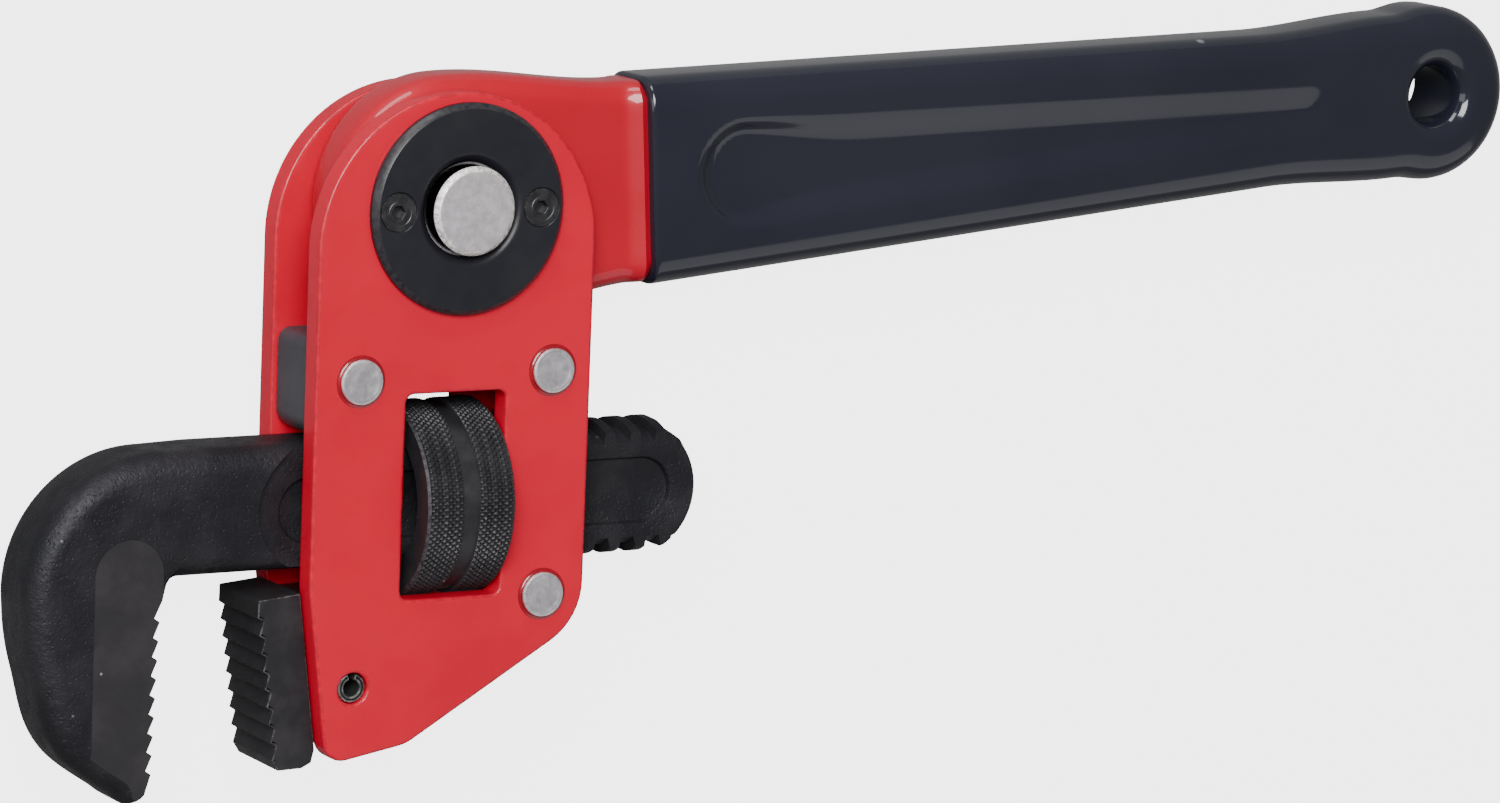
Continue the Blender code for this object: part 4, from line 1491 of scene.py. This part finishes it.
@dataclass
class HookJaw:
    """The forged hook and its flat-sided threaded shank."""

    half: float = 7.4
    edge: float = 4.0
    shank_y: float = -48.0
    shank_round: float = 11.1
    shank_root: float = 9.7
    shank_flat: float = 5.75
    shank_end: float = 46.0
    thread_start: float = -22.0
    thread_turns: int = 15
    milled_depth: float = 0.15
    tips: tuple[FLAT, FLAT] = ((-49.7, -64.1), (-50.6, -88.5))
    teeth: int = 9

    def outline(self) -> list[tuple[float, float, float]]:
        """The hook's side outline, anticlockwise, with each point's share of the rim's radius.

        Returns:
            Points as x, y and that share.
        """
        top = [(-17.0 - 27.0 * k / 12, -37.3, 1.0) for k in range(12)]
        bend = [(x, y, 1.0) for x, y in arc((-49.6, -60.0), 22.4, 90.0, 180.0, 40)]
        back = []
        for step in range(33):
            degrees = 184.0 + 48.0 * step / 32
            swell = 1.5 * math.sin(math.radians(max(degrees - 196.0, 0.0) * 180 / 38)) ** 2
            x, y = arc((-32.2, -60.6), 39.7 + swell, degrees, degrees, 1)[0]
            back.append((x, y, 1.0))
        tip = [(-55.9, -92.5, 0.9), (-55.1, -93.1, 0.75), (-54.2, -93.6, 0.6), (-53.3, -93.5, 0.4)]
        tip += [(-52.6, -93.2, 0.3), (-51.9, -92.6, 0.2), (-51.5, -91.8, 0.1)]
        row = tooth_row(*self.tips, self.teeth, -1.05, 2.35, 0.12)
        teeth = [(x, y, 0.05) for x, y in row][::-1]
        throat = [(-50.6, -63.4, 0.05), (-49.9, -62.1, 0.08), (-49.2, -60.8, 0.1), (-48.6, -59.3, 0.2)]
        throat += [(-48.2, -58.5, 0.3), (-47.6, -57.95, 0.45), (-46.8, -57.65, 0.6)]
        under = [(-46.0 + 29.0 * k / 12, -57.6, 0.8) for k in range(13)]
        return [*top, *bend, *back, *tip, *teeth, *throat, *under]

    def blank(self) -> bmesh.types.BMesh:
        """The hook with its rounded rim, before the shank is joined to it.

        Returns:
            The solid.
        """
        bm = bmesh.new()
        points = self.outline()
        steps = inward([(x, y) for x, y, _ in points])
        turns = 10
        levels = [math.pi / 2 * k / turns for k in range(turns + 1)]
        heights = [(1 - math.cos(a), self.half - self.edge + self.edge * math.sin(a)) for a in levels]
        rings = []
        for inset, z in [(i, -z) for i, z in reversed(heights)] + heights:
            spots = []
            for (x, y, share), (dx, dy) in zip(points, steps):
                reach = inset * share * self.edge
                spots.append((x + dx * reach, y + dy * reach))
            rings.append(ring(bm, spots, z))
        for low, high in zip(rings, rings[1:]):
            band(bm, low, high)
        lid(bm, rings[0])
        lid(bm, rings[-1])
        return bm

    def shank_limits(self) -> list[FLAT]:
        """The outline that the threaded rod is kept to, with its rounded end.

        Returns:
            The outline's points.
        """
        y, centre = self.shank_y, self.shank_end - self.shank_round
        limits = [
            (-90.0, y + 15.0), (-90.0, y - 50.0), (-16.0, y - 50.0), (-15.0, y - 12.5), (centre, y - 12.5)
        ]
        limits += arc((centre, y), self.shank_round, -90.0, 35.0, 32)
        limits += [
            (centre + 8.1, y + 8.0),
            (centre + 6.1, y + 10.0),
            (centre + 4.7, y + 11.2),
            (centre + 4.4, y + 12.5),
        ]
        return limits

    def build(self) -> None:
        """Builds the jaw as one piece with its milled faces marked."""
        made = mesh_object("hook_jaw_forged", self.blank())
        rod = Thread().rod(self.shank_round, self.shank_root, 2.3, self.thread_start, self.thread_turns)
        at_shank = Vector((0.0, self.shank_y, 0.0))
        combine(made, mesh_object("rod", rod, place=at_shank), Joining.ADD)
        combine(made, mesh_object("limits", prism(self.shank_limits(), -14.0, 14.0)), Joining.KEEP)
        for low, high in ((self.shank_flat, 12.5), (-12.5, -self.shank_flat)):
            flat = stadium(-23.2, 70.0, self.shank_y + 0.4, 10.2, low, high)
            combine(made, mesh_object("flat", flat), Joining.CUT)
        for side in (1, -1):
            panel = self.panel_cutter(side)
            combine(made, mesh_object("panel", panel), Joining.CUT)
            combine(made, mesh_object("milling", self.milled_cutter(side)), Joining.CUT)
        made.data.materials.clear()
        made.data.materials.append(HOOK_CAST.build())
        made.data.materials.append(HOOK_MILLED.build())
        self.mark_milled(made)
        dressed(made, HOOK_CAST, Body.HOOK, ["hook_jaw"], 28.0)

    def panel_cutter(self, side: int) -> bmesh.types.BMesh:
        """The long hollow in the shank's side, with sloping walls.

        Args:
            side: 1 for the button's side, -1 for the far side.

        Returns:
            The solid to cut away.
        """
        bm = bmesh.new()
        rings = []
        face = self.shank_flat
        for radius, z in (
            (4.75, 4.75), (5.1, 4.9), (5.3, 5.3), (5.5, face - 0.1), (5.85, face + 0.05), (8.0, face + 1.4)
        ):
            ends = arc((36.1, self.shank_y - 0.1), radius, -90.0, 90.0, 28)
            ends += arc((-23.6, self.shank_y - 0.1), radius, 90.0, 270.0, 28)
            rings.append(ring(bm, ends, side * z))
        for low, high in zip(rings, rings[1:]):
            band(bm, low, high)
        lid(bm, rings[0])
        lid(bm, rings[-1])
        return bm

    def milled_cutter(self, side: int) -> bmesh.types.BMesh:
        """The shallow milled side of the hook behind its teeth, with a half-round top.

        Args:
            side: 1 for the button's side, -1 for the far side.

        Returns:
            The solid to cut away.
        """
        outline = arc((-55.2, -56.5), 5.9, 0.0, 180.0, 36)
        outline += [(-61.1, -100.0), (-44.0, -100.0), (-44.0, -60.6), (-49.3, -60.6)]
        return prism(outline, *sorted((side * (self.half - self.milled_depth), side * 9.0)))

    def mark_milled(self, made: bpy.types.Object) -> None:
        """Gives the milled side and the teeth the smoother finish.

        Args:
            made: the finished hook.
        """
        for face in made.data.polygons:
            centre = Vector(face.center) / MM - PIVOT
            flat = abs(face.normal.z) > 0.99
            side = flat and abs(abs(centre.z) - self.half + self.milled_depth) < 0.02
            teeth = -54.0 < centre.x < -45.0 and centre.y < -62.5 and abs(face.normal.z) < 0.3
            if side or teeth:
                face.material_index = 1


@dataclass
class AdjustingNut:
    """The nut: two knurled bands with a groove between, threaded inside."""

    half: float = 7.75
    outside: float = 15.77
    groove_half: float = 1.45
    groove_depth: float = 0.6
    knurl_depth: float = 0.42
    knurls: int = 94
    rows: float = 1.25
    start: float = -22.0
    around: int = 564

    def profile(self) -> list[tuple[float, float, float]]:
        """Radius, place along the axis and wear, from the left face to the right.

        Returns:
            The profile's points.
        """
        rim, groove = self.outside, self.outside - self.groove_depth
        points = [(10.6, -self.half, 0.0), (rim - 1.2, -self.half, 0.0), (rim - 0.55, -self.half, 1.0)]
        points += [(rim - 0.2, 0.4 - self.half, 1.0)]
        first, last = 0.55 - self.half, -self.groove_half - 0.1
        count = 30
        points += [(rim, first + (last - first) * k / count, 0.0) for k in range(count + 1)]
        points += [
            (rim - 0.25, -self.groove_half, 0.6), (groove, 0.18 - self.groove_half, 0.5), (groove, -0.5, 0.55)
        ]
        points += [(groove, 0.0, 0.62)]
        return points + [(r, -z, mark) for r, z, mark in reversed(points[:-1])]

    def knurl_tree(self) -> tuple[bpy.types.NodeTree, dict[str, str]]:
        """Geometry Nodes that press a diamond knurl into the bands.

        Returns:
            The tree, and each named input's identifier.
        """
        tree = bpy.data.node_groups.new("diamond_knurl", "GeometryNodeTree")
        face = tree.interface
        face.new_socket("Geometry", in_out="INPUT", socket_type="NodeSocketGeometry")
        names = {}
        for name in ("Depth", "Count", "Row", "Outside", "Axis Y", "Axis Z", "Middle"):
            names[name] = face.new_socket(name, in_out="INPUT", socket_type="NodeSocketFloat").identifier
        names["Finish"] = face.new_socket(
            "Finish", in_out="INPUT", socket_type="NodeSocketMaterial"
        ).identifier
        face.new_socket("Geometry", in_out="OUTPUT", socket_type="NodeSocketGeometry")
        nodes = Nodes(tree)
        start = nodes.add("NodeGroupInput")
        where = nodes.add("ShaderNodeSeparateXYZ", Vector=nodes.add("GeometryNodeInputPosition").outputs[0])
        across = nodes.math("SUBTRACT", where.outputs["Y"], start.outputs["Axis Y"])
        up = nodes.math("SUBTRACT", where.outputs["Z"], start.outputs["Axis Z"])
        angle = nodes.math("ARCTAN2", up, across)
        radius = nodes.math(
            "SQRT", nodes.math("ADD", nodes.math("MULTIPLY", up, up), nodes.math("MULTIPLY", across, across))
        )
        along = nodes.math(
            "DIVIDE",
            nodes.math("SUBTRACT", where.outputs["X"], start.outputs["Middle"]),
            start.outputs["Row"],
        )
        around = nodes.math("MULTIPLY", angle, nodes.math("DIVIDE", start.outputs["Count"], 2 * math.pi))
        ridges = []
        for operation in ("ADD", "SUBTRACT"):
            phase = nodes.math(operation, around, along)
            ridges.append(nodes.math("PINGPONG", phase, 0.5))
        low = nodes.math("MINIMUM", *ridges)
        press = nodes.ramp(low, 0.0, 0.3, 1.0, 0.0)
        on_band = nodes.math(
            "GREATER_THAN", radius, nodes.math("SUBTRACT", start.outputs["Outside"], 0.00005)
        )
        depth = nodes.math("MULTIPLY", nodes.math("MULTIPLY", press, on_band), start.outputs["Depth"])
        shrink = nodes.math("MULTIPLY", nodes.math("DIVIDE", depth, radius), -1.0)
        offset = nodes.add(
            "ShaderNodeCombineXYZ",
            X=0.0,
            Y=nodes.math("MULTIPLY", across, shrink),
            Z=nodes.math("MULTIPLY", up, shrink),
        )
        moved = nodes.add(
            "GeometryNodeSetPosition", Geometry=start.outputs["Geometry"], Offset=offset.outputs[0]
        )
        real = nodes.add("GeometryNodeRealizeInstances", Geometry=moved.outputs["Geometry"])
        dress = nodes.add(
            "GeometryNodeSetMaterial", Geometry=real.outputs["Geometry"], Material=start.outputs["Finish"]
        )
        end = nodes.add("NodeGroupOutput")
        tree.links.new(dress.outputs["Geometry"], end.inputs["Geometry"])
        return tree, names

    def build(self) -> None:
        """Builds the nut as one piece."""
        profile = self.profile()
        bm = turned([(0.0, -self.half), *profile, (0.0, self.half)], self.around)
        bm.transform(Matrix.Rotation(math.pi / 2, 4, "Y"))
        made = mesh_object("knurled_nut", bm, place=NUT_PLACE)
        tree, names = self.knurl_tree()
        modifier = made.modifiers.new("Knurl", "NODES")
        modifier.node_group = tree
        centre = (PIVOT + NUT_PLACE) * MM
        for name, value in (
            ("Depth", self.knurl_depth * MM),
            ("Count", float(self.knurls)),
            ("Row", self.rows * MM),
            ("Outside", self.outside * MM),
            ("Axis Y", centre.y),
            ("Axis Z", centre.z),
            ("Middle", centre.x),
            ("Finish", NUT_BLACK.build()),
        ):
            modifier[names[name]] = value
        settled(made)
        tap = Thread(steps=96).rod(11.4, 10.0, 1.8, self.start + Thread.pitch - NUT_PLACE.x, 9)
        combine(made, mesh_object("tap", tap, place=NUT_PLACE), Joining.CUT)
        dressed(made, NUT_BLACK, Body.NUT, ["adjusting_nut"], 40.0)


# ---------------------------------------------------------------- handle


@dataclass
class Handle:
    """The forged handle with its dipped grip, along its own slightly raised axis."""

    tilt: float = math.radians(3.9)
    eye_round: float = 20.5
    eye_half: float = 5.75
    neck_height: float = 16.5
    neck_end: float = 35.0
    flare: tuple[float, float] = (31.6, 34.6)
    flare_half: float = 7.0
    edge: float = 3.6
    grip_start: float = 35.4
    grip_half: float = 8.0
    grip_edge: float = 4.8
    grip_height: tuple[float, float] = (17.1, 12.85)
    grip_span: tuple[float, float] = (35.4, 168.0)
    knob_centre: float = 190.4
    knob_round: float = 15.15
    panel_span: tuple[float, float] = (53.0, 164.0)
    panel_half: tuple[float, float] = (9.3, 4.9)
    panel_slope: float = 5.6
    panel_depth: float = 1.9
    panel_fade: float = 0.6
    swell_rise: float = 1.9
    swell_start: float = 156.0
    swell_run: float = 28.0
    hole: float = 4.95
    hole_mouth: float = 3.4
    hole_back_mouth: float = 2.0

    def build(self) -> None:
        """Builds the forging and the grip."""
        self.build_forging()
        self.build_grip()

    def neck(self, u: float) -> float:
        """Half height of the forging from its eye to the grip.

        Args:
            u: the place along the handle.

        Returns:
            The half height there.
        """
        if u >= self.neck_end:
            return self.neck_height
        swell = self.eye_round - self.neck_height
        return self.neck_height + swell * (0.5 + 0.5 * math.cos(math.pi * u / self.neck_end))

    def body(self, u: float) -> float:
        """Half height of the grip.

        Args:
            u: the place along the handle.

        Returns:
            The half height there.
        """
        (start, end), (first, last) = self.grip_span, self.grip_height
        taper = first + (last - first) * (u - start) / (end - start)
        taper += self.swell_rise * smooth_step((u - self.swell_start) / self.swell_run)
        knob = math.sqrt(max(self.knob_round**2 - (u - self.knob_centre) ** 2, 0.0))
        overlap = max(0.9 - abs(taper - knob), 0.0)
        return max(taper, knob) + overlap * overlap / 3.6

    def dip(self, u: float, v: float) -> float:
        """Depth of the long hollow in the grip's side.

        Args:
            u: the place along the handle.
            v: the place across it.

        Returns:
            The depth there, nought outside the hollow.
        """
        start, end = self.panel_span
        along = min(max(u, start), end)
        share = (along - start) / (end - start)
        half = self.panel_half[0] + (self.panel_half[1] - self.panel_half[0]) * share
        slope = self.panel_slope * (0.5 + 0.5 * smooth_step((u - start + 4.0) / 26.0))
        inside = (half - math.hypot(u - along, v)) / slope
        fade = 1.0 - self.panel_fade * smooth_step((u - start) / (end + self.panel_half[1] - start))
        return self.panel_depth * fade * smooth_step(inside)

    @staticmethod
    def run(
        height: Callable[[float], float], stations: Iterable[float]
    ) -> list[tuple[float, float, float, float]]:
        """Upper outline points with their outward normals along the handle.

        Args:
            height: the half height at a place along the handle.
            stations: the places.

        Returns:
            Points as x, y and the normal's x and y.
        """
        points = []
        for u in stations:
            slope = (height(u + 0.01) - height(u - 0.01)) / 0.02
            size = math.hypot(slope, 1.0)
            points.append((u, height(u), -slope / size, 1.0 / size))
        return points

    @staticmethod
    def turn(
        centre: float, radius: float, start: float, end: float, steps: int
    ) -> list[tuple[float, float, float, float]]:
        """Upper outline points with their normals round the eye or the knob.

        Args:
            centre: the arc's centre along the handle.
            radius: its radius.
            start: its first angle in degrees.
            end: its last angle in degrees.
            steps: how many steps.

        Returns:
            Points as x, y and the normal's x and y.
        """
        points = []
        for x, y in arc((centre, 0.0), radius, start, end, steps):
            points.append((x, max(y, 0.0), (x - centre) / radius, max(y, 0.0) / radius))
        return points

    def loft(
        self,
        points: Sequence[tuple[float, float, float, float]],
        half_at: Callable[[float], float],
        edge: float,
        across: int,
        dip: Callable[[float, float], float],
        inset_at: Callable[[float], float] = lambda _: 0.0,
    ) -> bmesh.types.BMesh:
        """A rounded section carried along the handle.

        Args:
            points: upper outline points and normals.
            half_at: half thickness along the handle.
            edge: the rim's radius.
            across: how many strips the side is cut into.
            dip: depth of the side's hollow at a point.
            inset_at: how far the whole section is drawn in along the handle.

        Returns:
            The solid.
        """
        bm = bmesh.new()
        turns = 8
        angles = [math.pi / 2 * k / turns for k in range(turns + 1)]
        loops = []
        for u, v, nu, nv in points:
            draw = inset_at(u)
            half = half_at(u) - draw
            inner_u, inner_v = u - (edge + draw) * nu, v - (edge + draw) * nv
            face = []
            for j in range(1, across):
                side = inner_v * (1 - 2 * j / across)
                face.append((inner_u, side, half - dip(inner_u, side)))
            rim = []
            for angle in angles:
                out, rise = edge * math.sin(angle), edge * math.cos(angle)
                rim.append((inner_u + out * nu, inner_v + out * nv, half - edge + rise))
            front = [*reversed(rim), *face, *[(x, -y, z) for x, y, z in rim]]
            loop = front + [(x, y, -z) for x, y, z in reversed(front)]
            loops.append([bm.verts.new(co) for co in loop])
        for first, second in zip(loops, loops[1:]):
            band(bm, first, second)
        if points[0][1] > 0.0:
            bm.faces.new(loops[0])
        bmesh.ops.remove_doubles(bm, verts=bm.verts, dist=0.002)
        bmesh.ops.dissolve_degenerate(bm, edges=bm.edges, dist=0.002)
        return bm

    def tang(self, u: float) -> float:
        """Half thickness of the forging along it.

        Args:
            u: the place along the handle.

        Returns:
            The half thickness there.
        """
        if u > self.flare[1]:
            return self.flare_half - 0.8 * smooth_step((u - self.flare[1]) / 0.6)
        return self.eye_half + (self.flare_half - self.eye_half) * smooth_step(
            (u - self.flare[0]) / (self.flare[1] - self.flare[0])
        )

    def build_forging(self) -> None:
        """The red forging, whose tang ends inside the grip."""
        neck = [self.neck_end * k / 40 for k in range(41)]
        points = self.turn(0.0, self.eye_round, 180.0, 90.0, 36)[:-1] + self.run(self.neck, neck)
        inside = self.run(lambda u: self.body(u) - 1.6, [self.grip_start + 0.3 + 3.0 * k for k in range(40)])
        points += inside
        bm = self.loft(points, self.tang, self.edge, 16, lambda u, v: self.dip(u, v))
        bmesh.ops.holes_fill(bm, edges=bm.edges)
        made = mesh_object("forged_handle", bm, self.tilt)
        bore = []
        for k in range(24):
            for offset, radius in ((-5.2, 9.2), (-3.5, 10.2), (3.5, 10.2), (5.2, 9.2)):
                bore += arc((0.0, 0.0), radius, 15.0 * k + offset, 15.0 * k + offset, 1)[:1]
        combine(made, mesh_object("bore", prism(bore, -8.0, 8.0), self.tilt), Joining.CUT)
        dressed(made, FORGING_LACQUER, Body.HANDLE, ["handle_forging"], 35.0)

    def build_grip(self) -> None:
        """The black grip, with a soft lip at its start and a rounded hole at its end."""
        start = self.grip_start
        stations = [start + 0.9 * (1 - math.cos(math.pi / 2 * k / 6)) for k in range(7)]
        stations += [start + 1.2 + 1.05 * k for k in range(147)]
        stations = [u for u in stations if u < self.knob_centre - 0.5]
        points = self.run(self.body, stations)
        points += self.turn(self.knob_centre, self.knob_round, 90.0, 0.0, 48)

        def lip(u: float) -> float:
            """How far the grip's end is drawn in at its lip.

            Args:
                u: the place along the handle.

            Returns:
                How far the grip's rounded end draws in there.
            """
            share = 1.0 - min(max((u - start) / 0.9, 0.0), 1.0)
            return 0.8 * (1.0 - math.sqrt(max(1.0 - share * share, 0.0)))

        bm = self.loft(points, lambda _: self.grip_half, self.grip_edge, 40, self.dip, lip)
        made = mesh_object("dipped_grip", bm, self.tilt)
        half = self.grip_half
        flares = []
        for mouth in (self.hole_back_mouth, self.hole_mouth):
            flare = []
            for k in range(11):
                angle = math.pi / 2 * k / 10
                flare.append(
                    (self.hole + mouth * (1 - math.cos(angle)), half - mouth * (1 - math.sin(angle)))
                )
            flare.append((self.hole + mouth + 0.9, half + 0.9))
            flares.append(flare)
        back = [(r, -z) for r, z in reversed(flares[0])]
        profile = [(0.0, -half - 0.9), *back, *flares[1], (0.0, half + 0.9)]
        cutter = mesh_object("hole", turned(profile, 96), self.tilt, Vector((self.knob_centre, 0.0, 0.0)))
        combine(made, cutter, Joining.CUT)
        dressed(made, GRIP_VINYL, Body.HANDLE, ["handle_grip"], 50.0)


@dataclass
class LockButton:
    """The push button with its toothed drum."""

    radius: float = 7.18
    top: float = 14.05
    chamfer: float = 0.75
    spring_span: tuple[float, float] = (-10.1, -2.0)
    spring_round: float = 8.6
    spring_turns: float = 4.0
    wire: float = 0.45
    press: float = 3.7

    def build(self) -> None:
        """Builds the button and dresses its spring."""
        bm = bmesh.new()
        steps = 96
        drum = []
        for k in range(24):
            for offset, radius in ((-4.3, 8.9), (-2.6, 9.9), (2.6, 9.9), (4.3, 8.9)):
                drum += arc((0.0, 0.0), radius, 15.0 * k + offset, 15.0 * k + offset, 1)[:1]
        r, top, cut = self.radius, self.top, self.chamfer
        stem = [(r - 0.5, -6.4, 0.0), (r, -5.9, 0.0), (r, -1.7, 0.0)]
        # Wear marks of 1.0 on the chamfer give it the near-white bare tone, partly worn metal and partly a
        # painted highlight.
        front = [
            (r, 9.9, 0.0), (r, top - cut - 0.1, 0.0), (r - 0.05, top - cut, 1.0), (r - cut, top - 0.04, 1.0)
        ]
        front += [(r - cut - 0.12, top, 0.6), (r - cut - 0.4, top, 0.0)]
        chains = []
        for chain in (stem, front):
            rings = [ring(bm, circle((0.0, 0.0), radius, steps), z, mark) for radius, z, mark in chain]
            for below, above in zip(rings, rings[1:]):
                band(bm, below, above)
            chains.append(rings)
        low, high = ring(bm, drum, -1.7), ring(bm, drum, 9.9)
        band(bm, low, high)
        lid(bm, chains[0][0])
        lid(bm, low, chains[0][-1])
        lid(bm, high, chains[1][0])
        lid(bm, chains[1][-1])
        made = mesh_object("push_button", bm, math.radians(3.9))
        made.data.materials.append(BUTTON_ZINC.build())
        made.data.materials.append(BUTTON_WALL_PAINTED_DARK.build())
        # Side walls take the near-black wall finish, which paints the shade and dark reflection of the wall
        # inside the dish.
        for face in made.data.polygons:
            if abs(face.normal.z) < 0.3:
                face.material_index = 1
        dressed(made, BUTTON_ZINC, Body.BUTTON, ["lock_pin"], 30.0)
        self.build_spring()

    def build_spring(self) -> None:
        """The coil behind the drum, with closed ends."""
        low, high = self.spring_span
        per_turn, facets = 36, 10
        count = int(self.spring_turns * per_turn)
        bm = bmesh.new()
        rings = []
        for k in range(count + 1):
            angle = 2 * math.pi * k / per_turn
            rise = smooth_step(k / count) * 0.35 + k / count * 0.65
            z = low + self.wire + (high - low - 2 * self.wire) * rise
            section = []
            for around in range(facets):
                turn = 2 * math.pi * around / facets
                r = self.spring_round + self.wire * math.cos(turn)
                section.append(
                    bm.verts.new((r * math.cos(angle), r * math.sin(angle), z + self.wire * math.sin(turn)))
                )
            rings.append(section)
        for first, second in zip(rings, rings[1:]):
            band(bm, first, second)
        bm.faces.new(rings[0])
        bm.faces.new(rings[-1])
        made = dressed(mesh_object("coil_spring", bm), SPRING_BLUE, Body.HANDLE, ["lock_spring"])
        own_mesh(made)


# ---------------------------------------------------------------- studio


@dataclass
class Studio:
    """The floor, the lights and the camera."""

    lens: float = 152.7
    floor_glow: float = 4.0
    floor_tone: float = 0.2
    surround: float = 0.22
    eye: Vector = field(default_factory=lambda: Vector((-460.08, 140.66, 895.71)))
    right: Vector = field(default_factory=lambda: Vector((0.86782, 0.04057, 0.49522)))
    up: Vector = field(default_factory=lambda: Vector((0.04853, 0.98498, -0.16572)))
    back: Vector = field(default_factory=lambda: Vector((-0.4945, 0.16785, 0.85281)))

    def build(self) -> None:
        """Builds the whole studio."""
        self.build_camera()
        self.build_floor()
        self.build_world()
        self.add_light("top_softbox", Vector((-0.3, 1.1, 0.32)), 5.5, (0.6, 0.35))
        self.add_light("left_softbox", Vector((-1.1, 0.1, 0.5)), 3.5, (0.5, 1.0))
        self.add_light("front_fill", Vector((-0.6, 0.6, 1.15)), 35.0, (0.8, 0.8))
        self.add_light("low_right_softbox", Vector((0.75, -0.95, 0.8)), 3.2, (1.5, 0.9))

    def build_camera(self) -> None:
        """The camera, high over the button's side of the wrench."""
        lens = bpy.data.cameras.new("studio_camera")
        lens.sensor_width = 36.0
        lens.lens = self.lens
        lens.clip_end = 50.0
        camera = bpy.data.objects.new("studio_camera", lens)
        turn = Matrix((self.right, self.up, self.back)).transposed().to_4x4()
        camera.matrix_world = Matrix.Translation((PIVOT + self.eye) * MM) @ turn
        bpy.context.scene.collection.objects.link(camera)
        bpy.context.scene.camera = camera

    def build_floor(self) -> None:
        """A wide pale floor just under the wrench."""
        bm = bmesh.new()
        bmesh.ops.create_grid(bm, x_segments=2, y_segments=2, size=6.0)
        mesh = bpy.data.meshes.new("studio_floor")
        bm.to_mesh(mesh)
        bm.free()
        floor = bpy.data.objects.new("studio_floor", mesh)
        floor.location.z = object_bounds()[0][2] - 0.0005
        material = bpy.data.materials.new("studio_floor")
        material.use_nodes = True
        shader = material.node_tree.nodes["Principled BSDF"]
        shader.inputs["Base Color"].default_value = (*(self.floor_tone,) * 3, 1.0)
        shader.inputs["Roughness"].default_value = 0.9
        shader.inputs["Emission Color"].default_value = (1.0, 1.0, 1.0, 1.0)
        nodes = Nodes(material.node_tree)
        seen = nodes.add("ShaderNodeLightPath").outputs["Is Camera Ray"]
        nodes.put(shader, "Emission Strength", nodes.math("MULTIPLY", seen, self.floor_glow))
        mesh.materials.append(material)
        bpy.context.scene.collection.objects.link(floor)
        floor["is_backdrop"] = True

    def build_world(self) -> None:
        """An even, dim surround."""
        world = bpy.data.worlds.new("studio_world")
        world.use_nodes = True
        surround = world.node_tree.nodes["Background"]
        surround.inputs["Color"].default_value = (1.0, 1.0, 1.0, 1.0)
        surround.inputs["Strength"].default_value = self.surround
        bpy.context.scene.world = world

    def add_light(self, name: str, place: Vector, watts: float, size: tuple[float, float]) -> None:
        """Adds a soft area light aimed at the wrench.

        Args:
            name: its name.
            place: where it stands, in metres from the pivot.
            watts: its power.
            size: its width and height in metres.
        """
        lamp = bpy.data.lights.new(name, "AREA")
        lamp.shape = "RECTANGLE"
        lamp.size, lamp.size_y = size
        lamp.energy = watts
        made = bpy.data.objects.new(name, lamp)
        made.location = PIVOT * MM + place
        made.rotation_euler = (-place).to_track_quat("-Z", "Y").to_euler()
        bpy.context.scene.collection.objects.link(made)


def main() -> None:
    """Builds every sub-assembly in order."""
    logging.basicConfig(level=logging.INFO, format="%(name)s %(message)s")
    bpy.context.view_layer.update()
    Studio().build()
    for assembly in (Head(), HeelJaw(), HookJaw(), AdjustingNut(), Handle(), LockButton()):
        assembly.build()


if __name__ == "__main__":
    main()
